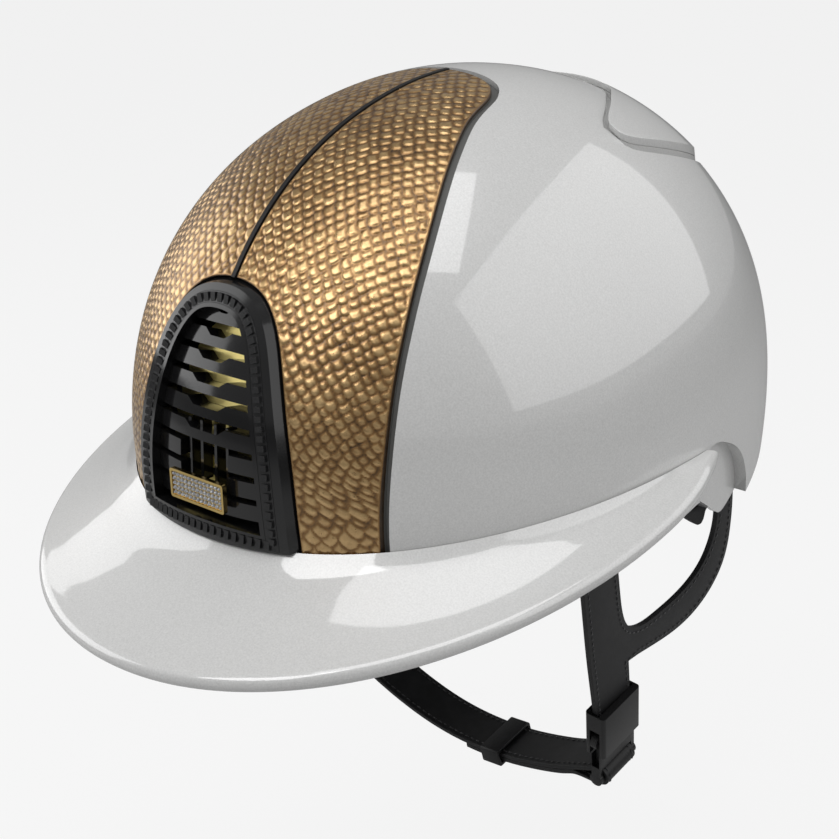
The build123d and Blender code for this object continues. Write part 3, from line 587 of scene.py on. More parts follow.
@dataclass(frozen=True)
class GoldHide:
    """Gold-foiled scaly leather: bright scale tops and dark, dull creases, from painted light and shade
    that the mesh carries.

    Attributes:
        name: Name of the finish.
        light: Colour where the painted light is brightest, on the scales' tops.
        middle: Colour half way down.
        dark: Colour of the painted shade in the creases.
        pit: Colour of the deepest painted shade.
        rub_scale: Rubbed spots a metre.
        cloud_scale: Broad patches a metre.
        pore_scale: Pores a metre.
        pore: Depth of the pores in metres.
        shares: Shares of the painted light and shade, rubbing and patches in the tone.
        base: Tone that is taken away.
        turns: Tones at which the colours pit, dark, middle and light stand.
    """

    name: str
    light: Colour
    middle: Colour
    dark: Colour
    pit: Colour
    rub_scale: float = 420.0
    cloud_scale: float = 40.0
    pore_scale: float = 2400.0
    pore: float = 0.00006
    shares: tuple[float, float, float] = (0.74, 0.36, 0.24)
    base: float = 0.16
    turns: tuple[float, float, float, float] = (0.0, 0.26, 0.62, 1.0)

    def make(self) -> bpy.types.Material:
        """Build the material; the mesh carries the scales' painted light and shade as the attribute named
        scale.
        """
        bench = Bench(self.name)
        # This value is the scales' painted light and shade, not a height; it drives the colour ramp, the
        # metal share and the roughness.
        height = bench.wire(bench.node("ShaderNodeAttribute", {"attribute_name": "scale"}).outputs["Fac"])
        rub = bench.noise(self.rub_scale, 4.0, 0.65)
        cloud = bench.noise(self.cloud_scale, 2.0)
        of_height, of_rub, of_cloud = self.shares
        tone = height * of_height + rub * of_rub + cloud * of_cloud - self.base
        stops = list(zip(self.turns, (self.pit, self.dark, self.middle, self.light)))
        ramp = bench.node("ShaderNodeValToRGB", {"stops": stops}, Fac=tone)
        bench.set(Base_Color=ramp.outputs["Color"], Metallic=height * 0.25 + 0.68)
        bench.set(Roughness=0.42 - height * 0.12 + (rub - 0.5) * 0.2)
        bench.set(Coat_Weight=0.45, Coat_Roughness=0.24)
        bench.bump(bench.noise(self.pore_scale, 3.0), self.pore, 0.7)
        return bench.material


@dataclass(frozen=True)
class Hide:
    """Smooth or grained leather.

    Attributes:
        name: Name of the finish.
        colour: Colour of the hide's darker places.
        roughness: Mean roughness.
        pebble: Height of the grain in metres.
        pebble_scale: Grains a metre.
        crease_scale: Creases a metre.
        unevenness: Range of the roughness from crease to crease.
    """

    name: str
    colour: Colour
    roughness: float = 0.5
    pebble: float = 0.00008
    pebble_scale: float = 900.0
    crease_scale: float = 220.0
    unevenness: float = 0.22

    def make(self) -> bpy.types.Material:
        """Build the material."""
        bench = Bench(self.name)
        pebble = bench.cells(self.pebble_scale)
        crease = bench.noise(self.crease_scale, 4.0, 0.6)
        lighter = toned(self.colour, 1.7, 0.006)
        bench.set(Base_Color=bench.blend(crease, self.colour, lighter), Specular_IOR_Level=0.3)
        bench.set(Roughness=self.roughness + (crease - 0.5) * self.unevenness)
        bench.bump(pebble * 0.6 + crease * 0.4, self.pebble, 0.8)
        return bench.material


@dataclass(frozen=True)
class Cloth:
    """Woven or brushed fabric, with threads crossing in two directions.

    Attributes:
        name: Name of the finish.
        colour: Colour of the weave's low places, painted darker as shade.
        thread: Spacing of the threads in metres.
        lift: Height of the weave in metres.
        roughness: Mean roughness.
        fuzz_scale: Fibres a metre.
        weave_share: Share of the weave's painted shade in the colour; the rest is fuzz.
        unevenness: Range of the roughness from fibre to fibre.
    """

    name: str
    colour: Colour
    thread: float = 0.0007
    lift: float = 0.00012
    roughness: float = 0.9
    fuzz_scale: float = 1500.0
    weave_share: float = 0.55
    unevenness: float = 0.1

    def make(self) -> bpy.types.Material:
        """Build the material."""
        bench = Bench(self.name)
        spot = bench.node("ShaderNodeSeparateXYZ", Vector=bench.place())
        turn = 2 * math.pi / self.thread
        along, across, up = (bench.wire(spot.outputs[axis]) for axis in "XYZ")
        weave = ((along + up * 0.5) * turn).wave() * ((across + up * 0.8) * turn).wave() * 0.5 + 0.5
        fuzz = bench.noise(self.fuzz_scale, 4.0, 0.7)
        # Painted shade: the colour darkens in the weave's low places, following the weave that also drives
        # the bump; the fuzz is a random tone.
        mottle = weave * self.weave_share + fuzz * (1 - self.weave_share)
        bench.set(Base_Color=bench.blend(mottle, self.colour, toned(self.colour, 2.2, 0.008)))
        bench.set(Roughness=self.roughness + (fuzz - 0.5) * self.unevenness, Sheen_Weight=0.35)
        bench.bump(weave * 0.6 + fuzz * 0.4, self.lift, 0.9)
        return bench.material


@dataclass(frozen=True)
class Foam:
    """Moulded bead foam.

    Attributes:
        name: Name of the finish.
        colour: Colour of the seams between the beads.
        bead_scale: Beads a metre.
        bead_height: Height of a bead in metres.
    """

    name: str
    colour: Colour
    bead_scale: float = 360.0
    bead_height: float = 0.00025

    def make(self) -> bpy.types.Material:
        """Build the material."""
        bench = Bench(self.name)
        bead = bench.cells(self.bead_scale, "SMOOTH_F1")
        edge = bench.cells(self.bead_scale, "DISTANCE_TO_EDGE")
        lighter = toned(self.colour, 1.8, 0.01)
        bench.set(Base_Color=bench.blend(edge * 6.0, self.colour, lighter), Roughness=0.85 - edge * 0.3)
        bench.bump(1.0 - bead, self.bead_height, 0.7)
        return bench.material


@dataclass(frozen=True)
class CutStone:
    """Small cut stones over a mirror backing.

    Attributes:
        name: Name of the finish.
        light: Colour of the lit facets.
        shade: Colour of the shaded facets.
        facet_scale: Facets a metre.
    """

    name: str
    light: Colour
    shade: Colour
    facet_scale: float = 1400.0

    def make(self) -> bpy.types.Material:
        """Build the material."""
        bench = Bench(self.name)
        facet = bench.cells(self.facet_scale)
        bench.set(Base_Color=bench.blend(facet * 2.0, self.light, self.shade))
        bench.set(Metallic=0.2, Roughness=0.08 + facet * 0.1, Coat_Weight=0.8, Coat_Roughness=0.03)
        return bench.material


class Finish(Enum):
    """Every finish of the helmet."""

    SHELL = Lacquer("pearl_shell", linear(216, 216, 215))
    VISOR = Lacquer("pearl_visor", linear(216, 216, 215))
    CARRIER = Plastic("carrier_plastic", linear(92, 92, 90), 0.6)
    GOLD_HIDE = GoldHide(
        "gold_scale_leather", linear(226, 192, 138), linear(146, 110, 66), linear(80, 59, 36),
        linear(38, 30, 22),
    )
    PIPING = Hide("black_piping", linear(12, 12, 13), 0.5, 0.00004, 1600.0)
    GRILLE = Plastic("grille_gloss", linear(12, 12, 13), 0.14, 0.000006, 1800.0, 0.3)
    BEADING = Plastic("beading_gloss", linear(18, 18, 19), 0.24, 0.000006, 1800.0, 0.2)
    SHUTTER = Metal("shutter_gold", linear(255, 236, 150), 0.3, 0.00001, 0.6)
    TAB = Metal("tab_gold", linear(214, 186, 120), 0.2)
    STONE = CutStone("cut_stone", linear(248, 249, 252), linear(150, 153, 160))
    FOAM = Foam("liner_foam", linear(28, 28, 30))
    EDGE = Cloth("edge_cloth", linear(26, 26, 28))
    PAD = Cloth("pad_cloth", linear(30, 30, 32))
    FLAP = Hide("flap_leather", linear(26, 26, 27), 0.6)
    STRAP = Hide("strap_leather", linear(24, 24, 25), 0.5, 0.00004, 1500.0)
    CHIN = Hide("chin_leather", linear(20, 20, 21), 0.45, 0.00004, 1500.0)
    THREAD = Cloth("stitch_thread", linear(30, 30, 32), 0.0004, 0.00003)
    BUCKLE = Plastic("buckle_plastic", linear(17, 17, 18), 0.34)
    ANCHOR = Plastic("anchor_plastic", linear(40, 40, 42), 0.6)
    STEEL = Metal("rivet_steel", linear(170, 170, 172), 0.35)


class Wardrobe:
    """Makes each finish once and hands it to the pieces."""

    def __init__(self) -> None:
        """Start with no finish made."""
        self.made: dict[Finish, bpy.types.Material] = {}

    def get(self, finish: Finish) -> bpy.types.Material:
        """Return a finish's material, built on first use."""
        if finish not in self.made:
            self.made[finish] = finish.value.make()
        return self.made[finish]

    def dress(self, piece: bpy.types.Object, finish: Finish) -> None:
        """Give a piece one finish all over."""
        piece.data.materials.clear()
        piece.data.materials.append(self.get(finish))


# Mesh helpers


def piece_from(
    name: str, points: np.ndarray, faces: Iterable[Sequence[int]], smooth: bool = True
) -> bpy.types.Object:
    """Make an object from points in metres and faces.

    Args:
        name: Name of the piece.
        points: Points in the worn frame.
        faces: Corner numbers of each face.
        smooth: Whether the faces are shaded smooth.

    Returns:
        The object, linked to the scene.
    """
    mesh = bpy.data.meshes.new(name)
    mesh.from_pydata([tuple(p) for p in points], [], [tuple(int(i) for i in f) for f in faces])
    mesh.validate()
    if smooth:
        mesh.shade_smooth()
    made = bpy.data.objects.new(name, mesh)
    bpy.context.scene.collection.objects.link(made)
    return made


def grid_faces(rows: int, columns: int, closed: bool = False) -> list[tuple[int, int, int, int]]:
    """Faces of a grid of points.

    Args:
        rows: Number of rows.
        columns: Number of points in a row.
        closed: Whether each row joins its own start.

    Returns:
        Four corner numbers a face.
    """
    faces = []
    for row in range(rows - 1):
        for column in range(columns if closed else columns - 1):
            after = (column + 1) % columns
            low, high = row * columns, (row + 1) * columns
            faces.append((low + column, low + after, high + after, high + column))
    return faces


def copy_node(frame: dict, node: str, name: str) -> bpy.types.Object:
    """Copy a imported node's mesh to a new object with its seams welded.

    Args:
        node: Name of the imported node.
        name: Name of the new piece.

    Returns:
        The new object, linked to the scene.
    """
    weld = 2e-6
    source = frame["nodes"][node]
    mesh = source.data.copy()
    mesh.name = name
    made = bpy.data.objects.new(name, mesh)
    made.matrix_world = source.matrix_world.copy()
    bpy.context.scene.collection.objects.link(made)
    work = bmesh.new()
    work.from_mesh(mesh)
    bmesh.ops.remove_doubles(work, verts=work.verts, dist=weld)
    work.to_mesh(mesh)
    work.free()
    return made


def mesh_points(mesh: bpy.types.Mesh) -> np.ndarray:
    """Read a mesh's points in metres."""
    flat = np.empty(len(mesh.vertices) * 3)
    mesh.vertices.foreach_get("co", flat)
    return flat.reshape(-1, 3)


def turned(vectors: np.ndarray, back: bool = False) -> np.ndarray:
    """Turn directions from the level frame to the worn one, or back."""
    cos, sin = math.cos(PITCH), math.sin(PITCH) * (-1 if back else 1)
    x, y, z = vectors[..., 0], vectors[..., 1], vectors[..., 2]
    return np.stack([x, y * cos - z * sin, y * sin + z * cos], axis=-1)


@dataclass
class FineMesh:
    """Triangles in the level frame that can be split finely where they lie on the dome.

    Attributes:
        points: Corners, in millimetres.
        faces: Corner numbers of each triangle.
        level_gap: Greatest difference in depth between points on one surface.
        along: Least agreement of a triangle on the dome with the form's normal.
        rounds: Most rounds of splitting.
    """

    points: np.ndarray
    faces: np.ndarray
    level_gap: float = 0.12
    along: float = 0.9
    rounds: int = 7

    @classmethod
    def read(cls, piece: bpy.types.Object) -> FineMesh:
        """Read a piece's triangles."""
        piece.data.calc_loop_triangles()
        faces = np.empty(len(piece.data.loop_triangles) * 3, dtype=np.int64)
        piece.data.loop_triangles.foreach_get("vertices", faces)
        return cls(level(mesh_points(piece.data)), faces.reshape(-1, 3))

    def facings(self) -> np.ndarray:
        """Unit direction that each triangle faces."""
        first, second, third = (self.points[self.faces[:, k]] for k in range(3))
        across = np.cross(second - first, third - first)
        return across / np.maximum(np.linalg.norm(across, axis=1, keepdims=True), TINY * MM)

    def domed(self) -> tuple[np.ndarray, np.ndarray, np.ndarray]:
        """Find the triangles that lie along the dome.

        Returns:
            Depth of each point, normal of the form at each point, and a flag for each triangle.
        """
        depth = FORM.depth(self.points)
        normal = FORM.normal(self.points)
        corners = depth[self.faces]
        middle = normal[self.faces].mean(axis=1)
        agreement = np.abs(np.sum(middle * self.facings(), axis=1))
        return depth, normal, (np.ptp(corners, axis=1) < self.level_gap) & (agreement > self.along)

    def split(self, longest: float, chosen: Callable[[np.ndarray], np.ndarray] | None = None) -> None:
        """Split the dome's triangles until no edge is longer than a limit, on the exact form.

        Args:
            longest: Longest edge, in millimetres.
            chosen: Takes the corners' depths of each triangle and says which are split.
        """
        for _ in range(self.rounds):
            depth, _, flags = self.domed()
            if chosen is not None:
                flags = flags & chosen(depth[self.faces])
            pairs = np.stack([self.faces, np.roll(self.faces, -1, axis=1)], axis=-1)
            ordered = np.sort(pairs.reshape(-1, 2), axis=1)
            edges, which = np.unique(ordered, axis=0, return_inverse=True)
            which = which.reshape(-1, 3)
            length = np.linalg.norm(self.points[edges[:, 0]] - self.points[edges[:, 1]], axis=1)
            wanted = np.zeros(len(edges), dtype=bool)
            wanted[which[flags].ravel()] = True
            wanted &= length > longest
            if not wanted.any():
                break
            fresh = np.full(len(edges), -1)
            fresh[wanted] = len(self.points) + np.arange(int(wanted.sum()))
            ends = edges[wanted]
            spots = (self.points[ends[:, 0]] + self.points[ends[:, 1]]) / 2
            level_depth = depth[ends].mean(axis=1)
            near = np.abs(depth[ends[:, 0]] - depth[ends[:, 1]]) < self.level_gap
            spots[near] = FORM.settle(spots[near], level_depth[near])
            self.points = np.concatenate([self.points, spots])
            self.faces = self.quartered(fresh[which])

    def quartered(self, middles: np.ndarray) -> np.ndarray:
        """Triangles after new points were put on some of their edges.

        Args:
            middles: New point on each edge of each triangle, or -1.

        Returns:
            The new triangles.
        """
        made = []
        cut = middles >= 0
        count = cut.sum(axis=1)
        made.append(self.faces[count == 0])
        full = count == 3
        a, b, c = self.faces[full].T
        ab, bc, ca = middles[full].T
        made += [np.stack(t, axis=1) for t in ((a, ab, ca), (ab, b, bc), (ca, bc, c), (ab, bc, ca))]
        for turn in range(3):
            faces = np.roll(self.faces, -turn, axis=1)
            mids = np.roll(middles, -turn, axis=1)
            one = (count == 1) & (mids[:, 0] >= 0)
            a, b, c = faces[one].T
            made += [np.stack(t, axis=1) for t in ((a, mids[one, 0], c), (mids[one, 0], b, c))]
            two = (count == 2) & (mids[:, 2] < 0)
            a, b, c = faces[two].T
            ab, bc = mids[two, 0], mids[two, 1]
            made += [np.stack(t, axis=1) for t in ((ab, b, bc), (a, ab, bc), (a, bc, c))]
        return np.concatenate(made)

    def write(self, name: str, keep_form: bool, sharp: float) -> bpy.types.Object:
        """Make a piece from the triangles.

        Args:
            name: Name of the piece.
            keep_form: Whether domed faces are shaded by the exact form.
            sharp: Angle in degrees over which an edge stays crisp.

        Returns:
            The new piece.
        """
        made = piece_from(name, worn(self.points), self.faces.tolist())
        made.data.set_sharp_from_angle(angle=math.radians(sharp))
        if keep_form:
            _, normal, flags = self.domed()
            exact = turned(normal)
            facing = turned(self.facings())
            corners = np.empty(len(self.faces) * 9)
            made.data.corner_normals.foreach_get("vector", corners)
            corners = corners.reshape(-1, 3, 3)
            wanted = exact[self.faces]
            side = np.sign(np.sum(wanted * facing[:, None, :], axis=2, keepdims=True))
            corners[flags] = (wanted * side)[flags]
            made.data.normals_split_custom_set(corners.reshape(-1, 3).tolist())
        return made


def eased_share(share: np.ndarray) -> np.ndarray:
    """Smooth step from 0 to 1 of a share, held at its ends."""
    held = np.clip(share, 0, 1)
    return held * held * (3 - 2 * held)


@dataclass
class RoundedOutline:
    """Shift that takes the rear cover's cornered outline to a flowing one, seen from above.

    The cover and the groove round it move alike, so the gap between them keeps its width.

    Attributes:
        path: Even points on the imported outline, in millimetres.
        shift: Way from each point to the flowing outline.
        near: Distance up to which the shift is whole.
        far: Distance at which it has died out.
        least_y: Points further forward than this stay.
        least_z: Points lower than this stay.
    """

    path: np.ndarray
    shift: np.ndarray
    near: float = 3.5
    far: float = 11.0
    least_y: float = 20.0
    least_z: float = 15.0

    @classmethod
    def of_cover(cls, frame: dict, reach: float = 5.0, proud: float = 1.5) -> RoundedOutline:
        """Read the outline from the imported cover.

        Args:
            reach: Length over which a corner is eased.
            proud: Height over the shell that only the cover's outer face passes.

        Returns:
            The shift.
        """
        rough = copy_node(frame, "rear_vent_cover", "rough_copy")
        fine = FineMesh.read(rough)
        bpy.data.objects.remove(rough)
        depth, _, flags = fine.domed()
        outer = flags & (depth[fine.faces].max(axis=1) < -proud)
        loop = max(border_loops(fine.faces[outer]), key=len)
        ring = np.concatenate([fine.points[loop], fine.points[loop[:1]]])[:, :2]
        places = np.concatenate([[0.0], np.cumsum(np.linalg.norm(np.diff(ring, axis=0), axis=1))])
        even = np.linspace(0, places[-1], int(places[-1]), endpoint=False)
        path = np.stack([np.interp(even, places, ring[:, axis]) for axis in range(2)], axis=-1)
        widest = round(reach * 3.2)
        steps = np.arange(-widest, widest + 1)
        weights = np.exp(-((steps / reach) ** 2) / 2)
        eased = sum(np.roll(path, int(step), axis=0) * weight for step, weight in zip(steps, weights))
        return cls(path, eased / weights.sum() - path)

    def apply(self, fine: FineMesh, deepest: float) -> None:
        """Move a mesh's points near the outline, each at its own depth.

        Args:
            fine: The mesh.
            deepest: Points deeper than this stay.
        """
        depth = FORM.depth(fine.points)
        behind = (fine.points[:, 1] > self.least_y) & (fine.points[:, 2] > self.least_z)
        chosen = np.flatnonzero(behind & (depth < deepest))
        tree = KDTree(len(self.path))
        for index, spot in enumerate(self.path):
            tree.insert((*spot, 0.0), index)
        tree.balance()
        found = [tree.find((*fine.points[index, :2], 0.0)) for index in chosen]
        which = np.array([item[1] for item in found])
        away = np.array([item[2] for item in found])
        share = eased_share((self.far - away) / (self.far - self.near))
        moving = share > 0
        chosen, which, share = chosen[moving], which[moving], share[moving]
        fine.points[chosen, :2] += self.shift[which] * share[:, None]
        fine.points[chosen] = FORM.settle(fine.points[chosen], depth[chosen])


@dataclass
class DomedPiece:
    """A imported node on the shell's dome, split finely and settled on the exact form.

    Attributes:
        node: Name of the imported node.
        finish: Its finish.
        grain: Longest edge left on the dome, in millimetres.
        sharp: Angle in degrees over which an edge stays crisp.
        rounding: Width of the rounding of its edges, in millimetres, or 0.
        groove: Depth down to which the rear cover and the groove round it are eased.
    """

    node: str
    finish: Finish
    grain: float = 3.0
    sharp: float = 34.0
    rounding: float = 0.0
    groove: float = 3.1

    def build(self, frame: dict, wardrobe: Wardrobe) -> bpy.types.Object:
        """Copy, refine and dress the node.

        Args:
            wardrobe: Finishes.

        Returns:
            The finished piece.
        """
        rough = copy_node(frame, self.node, "rough_copy")
        fine = FineMesh.read(rough)
        bpy.data.objects.remove(rough)
        fine.split(self.grain)
        RoundedOutline.of_cover(frame).apply(fine, self.groove)
        made = fine.write(f"{self.node}_fine", self.rounding == 0, self.sharp)
        if self.rounding > 0:
            softened(made, self.rounding)
        wardrobe.dress(made, self.finish)
        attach(made, Body.HELMET.value)
        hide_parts(self.node)
        return made


# Scaly leather


@dataclass
class ScaleSkin:
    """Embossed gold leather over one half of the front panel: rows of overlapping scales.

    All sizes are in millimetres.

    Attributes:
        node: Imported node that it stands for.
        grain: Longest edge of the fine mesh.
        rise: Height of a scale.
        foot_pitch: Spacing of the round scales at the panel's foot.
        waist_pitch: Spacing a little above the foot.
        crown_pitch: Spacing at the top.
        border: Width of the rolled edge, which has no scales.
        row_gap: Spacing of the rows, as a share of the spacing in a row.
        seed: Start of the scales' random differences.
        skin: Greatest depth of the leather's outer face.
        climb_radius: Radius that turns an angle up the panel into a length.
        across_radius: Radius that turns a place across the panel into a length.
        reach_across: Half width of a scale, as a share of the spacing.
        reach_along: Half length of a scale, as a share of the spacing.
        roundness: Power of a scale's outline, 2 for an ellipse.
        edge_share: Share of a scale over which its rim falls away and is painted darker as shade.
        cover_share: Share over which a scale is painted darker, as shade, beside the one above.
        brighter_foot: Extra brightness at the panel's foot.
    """

    node: str
    grain: float = 0.85
    rise: float = 0.55
    foot_pitch: float = 6.2
    waist_pitch: float = 4.3
    crown_pitch: float = 5.2
    border: float = 1.0
    row_gap: float = 0.68
    seed: int = 7
    skin: float = 0.6
    climb_radius: float = 136.0
    across_radius: float = 118.0
    reach_across: float = 0.57
    reach_along: float = 0.84
    roundness: float = 1.7
    edge_share: float = 0.34
    cover_share: float = 0.42
    brighter_foot: float = 0.22

    def pitch(self, climb: np.ndarray) -> np.ndarray:
        """Spacing of the scales at a way up the panel."""
        foot_end, waist, crown, softness = 44.0, 60.0, 220.0, 5.0
        low = 1 / (1 + np.exp((climb - foot_end) / softness))
        high = np.clip((climb - waist) / (crown - waist), 0, 1)
        middle = self.waist_pitch + (self.crown_pitch - self.waist_pitch) * high
        return middle + (self.foot_pitch - middle) * low

    def jitter(self, row: np.ndarray, column: np.ndarray, salt: int) -> np.ndarray:
        """Repeatable random number from -1 to 1 for a scale's row and column."""
        primes = (73856093, 19349663, 83492791, 1274126177)
        lowest_bits = 65535
        mixed = (row * primes[0]) ^ (column * primes[1]) ^ ((self.seed + salt) * primes[2])
        mixed = (mixed ^ (mixed >> 13)) * primes[3]
        return (mixed & lowest_bits) / (lowest_bits / 2) - 1

    def relief(self, points: np.ndarray) -> tuple[np.ndarray, np.ndarray]:
        """Height of the scales and their painted light and shade at each point.

        Args:
            points: Places in the level frame.

        Returns:
            Height from -1 to 1, and painted brightness from 0 to 1.
        """
        longest_climb, table_size, foot_top, foot_softness = 420, 900, 30.0, 5.0
        climb = self.climb_radius * np.arctan2(points[:, 2], -points[:, 1])
        table = np.linspace(0, longest_climb, table_size)
        counted = np.concatenate([[0], np.cumsum(np.diff(table) / self.pitch(table[1:]))])
        up = np.interp(climb, table, counted) / self.row_gap
        turn = np.arcsin(np.clip(points[:, 0] / self.across_radius, -1, 1))
        across = self.across_radius * turn / self.pitch(climb)
        base = np.round(up).astype(np.int64)
        rows, reaches, tips, tones = [], [], [], []
        for row_step in (-2, -1, 0, 1, 2):
            row = base + row_step
            shift = (row % 2) * 0.5
            start = np.round(across - shift).astype(np.int64)
            for column_step in (-1, 0, 1):
                column = start + column_step
                x = column + shift + 0.10 * self.jitter(row, column, 1)
                y = row + 0.16 * self.jitter(row, column, 2)
                size = 1 + 0.10 * self.jitter(row, column, 4)
                gap_x = np.abs(across - x) / (self.reach_across * size)
                gap_y = (up - y) * self.row_gap / (self.reach_along * size)
                away = gap_x**self.roundness + np.abs(gap_y) ** self.roundness
                rows.append(row)
                reaches.append(away ** (1 / self.roundness))
                tips.append(gap_y)
                tones.append(self.jitter(row, column, 3))
        row, reach = np.stack(rows), np.stack(reaches)
        order = np.where(reach < 1, row - reach * 0.01, base - 50.0 - reach)
        top = np.argmax(order, axis=0)[None]
        own_row = np.take_along_axis(row, top, 0)
        own_reach = np.take_along_axis(reach, top, 0)[0]
        tip = np.take_along_axis(np.stack(tips), top, 0)[0]
        own = np.take_along_axis(np.stack(tones), top, 0)[0]
        above = np.where(row > own_row, reach, 9.0).min(axis=0)
        edge = eased_share((1 - own_reach) / self.edge_share)
        open_share = np.clip((above - 1) / self.cover_share, 0, 1)
        height = (0.35 + 0.65 * np.clip(0.5 - tip * 0.6, 0, 1)) * (0.2 + 0.8 * edge)
        height *= 0.35 + 0.65 * open_share
        foot = self.brighter_foot / (1 + np.exp((climb - foot_top) / foot_softness))
        # Painted shade: darker beside the scale above and at each scale's rim; a random tone a scale and a
        # brighter foot are added.
        lit = np.clip((0.28 + 0.72 * open_share) * (0.62 + 0.38 * edge) + own * 0.13 + foot, 0, 1)
        return height * 2 - 1, lit

    def build(self, frame: dict, wardrobe: Wardrobe) -> bpy.types.Object:
        """Emboss and dress the leather.

        Args:
            wardrobe: Finishes.

        Returns:
            The finished piece.
        """
        rough = copy_node(frame, self.node, "rough_copy")
        fine = FineMesh.read(rough)
        bpy.data.objects.remove(rough)
        fine.split(self.grain, lambda depths: depths.max(axis=1) < self.skin)
        depth, normal, flags = fine.domed()
        face_depth = depth[fine.faces].max(axis=1)
        top = flags & (face_depth < self.skin)
        touched = np.zeros(len(fine.points), dtype=bool)
        touched[fine.faces[top].ravel()] = True
        rim = np.zeros(len(fine.points), dtype=bool)
        rim[fine.faces[~top].ravel()] = True
        rim &= touched
        tree = KDTree(int(rim.sum()))
        for index, spot in enumerate(fine.points[rim]):
            tree.insert(spot, index)
        tree.balance()
        away = np.array([tree.find(spot)[2] for spot in fine.points[touched]])
        height, lit = self.relief(fine.points[touched])
        inside = np.clip((away - self.border * 0.55) / (self.border * 0.7), 0, 1)
        rolled = np.clip(away / (self.border * 0.6), 0, 1)
        lift = inside * height * self.rise / 2 + (1 - inside) * (np.sqrt(rolled) * 0.35 - 0.1)
        fine.points[touched] += normal[touched] * lift[:, None]
        tone = np.zeros(len(fine.points))
        # Painted light and shade of the scales; on the rolled edge, painted shade that darkens towards its
        # rim.
        tone[touched] = lit * inside + 0.86 * (1 - inside) * rolled
        made = fine.write(f"{self.node}_scales", False, 60)
        # The attribute named scale carries this painted light and shade to the finish.
        layer = made.data.attributes.new("scale", "FLOAT", "POINT")
        layer.data.foreach_set("value", tone)
        wardrobe.dress(made, Finish.GOLD_HIDE)
        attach(made, Body.HELMET.value)
        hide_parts(self.node)
        return made


# Stitches and straps


@dataclass
class Stitching:
    """Rows of thread stitches, each a short spindle lying half sunk in the leather.

    All sizes are in millimetres.

    Attributes:
        length: Length of a stitch.
        pitch: Spacing of the stitches.
        radius: Radius of the thread.
        sides: Sides of the thread.
        proud: Height of the thread's heart over the leather, as a share of its radius.
        reach: Distance along the path over which a stitch's direction is taken.
        profile: Places along a stitch and its swelling there, both as shares.
        points: Points of the stitches sewn so far.
        faces: Their faces.
    """

    length: float = 2.1
    pitch: float = 3.1
    radius: float = 0.3
    sides: int = 6
    proud: float = 0.35
    reach: float = 0.8
    profile: tuple[tuple[float, float], ...] = (
        (-0.5, 0.25), (-0.3, 0.9), (0.0, 1.0), (0.3, 0.9), (0.5, 0.25),
    )
    points: list[np.ndarray] = field(default_factory=list)
    faces: list[tuple[int, ...]] = field(default_factory=list)

    def stitch(self, middle: np.ndarray, along: np.ndarray, outward_way: np.ndarray) -> None:
        """Add one stitch.

        Args:
            middle: Its middle, on the leather's surface.
            along: Unit direction of the thread.
            outward_way: Unit direction out of the leather.
        """
        aside = np.cross(along, outward_way)
        start = sum(len(block) for block in self.points)
        rings = []
        for share, swell in self.profile:
            heart = middle + along * self.length * share + outward_way * self.radius * self.proud * swell
            for side in range(self.sides):
                turn = 2 * math.pi * side / self.sides
                way = aside * math.cos(turn) + outward_way * math.sin(turn)
                rings.append(heart + way * self.radius * swell)
        self.points.append(np.array(rings))
        last = start + (len(self.profile) - 1) * self.sides
        walls = grid_faces(len(self.profile), self.sides, closed=True)
        self.faces += [tuple(start + corner for corner in face) for face in walls]
        self.faces.append(tuple(start + side for side in reversed(range(self.sides))))
        self.faces.append(tuple(last + side for side in range(self.sides)))

    def row(self, path: np.ndarray, outward_ways: np.ndarray, closed: bool = False) -> None:
        """Sew one row of stitches along a path.

        Args:
            path: Points on the leather's surface.
            outward_ways: Unit direction out of the leather at each point.
            closed: Whether the path returns to its start.
        """
        if closed:
            path = np.concatenate([path, path[:1]])
            outward_ways = np.concatenate([outward_ways, outward_ways[:1]])
        gaps = np.linalg.norm(np.diff(path, axis=0), axis=1)
        places = np.concatenate([[0.0], np.cumsum(gaps)])
        count = int(places[-1] / self.pitch)
        for index in range(count):
            spot = (index + 0.5) * places[-1] / count
            middle = np.array([np.interp(spot, places, path[:, k]) for k in range(3)])
            before = np.array([np.interp(spot - self.reach, places, path[:, k]) for k in range(3)])
            after = np.array([np.interp(spot + self.reach, places, path[:, k]) for k in range(3)])
            along = (after - before) / max(float(np.linalg.norm(after - before)), TINY)
            way = np.array([np.interp(spot, places, outward_ways[:, k]) for k in range(3)])
            way -= along * float(way @ along)
            self.stitch(middle, along, way / max(float(np.linalg.norm(way)), TINY))

    def build(self, name: str, body: Body, slot: str, wardrobe: Wardrobe) -> bpy.types.Object:
        """Make one piece of all the stitches sewn so far.

        Args:
            name: Name of the piece.
            body: Body that it rides on.
            slot: Name of a material slot of the record; not used.
            wardrobe: Finishes.

        Returns:
            The piece.
        """
        made = piece_from(name, worn(np.concatenate(self.points)), self.faces)
        wardrobe.dress(made, Finish.THREAD)
        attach(made, body.value)
        return made


def border_loops(faces: np.ndarray) -> list[list[int]]:
    """Closed loops round a patch of triangles, as point numbers in the patch's direction."""
    ways = np.concatenate([faces[:, [0, 1]], faces[:, [1, 2]], faces[:, [2, 0]]])
    known = {(int(a), int(b)) for a, b in ways}
    onward = {a: b for a, b in known if (b, a) not in known}
    loops = []
    while onward:
        start, step = next(iter(onward.items()))
        loop = [start]
        del onward[start]
        while step != start and step in onward:
            loop.append(step)
            step = onward.pop(step)
        loops.append(loop)
    return loops


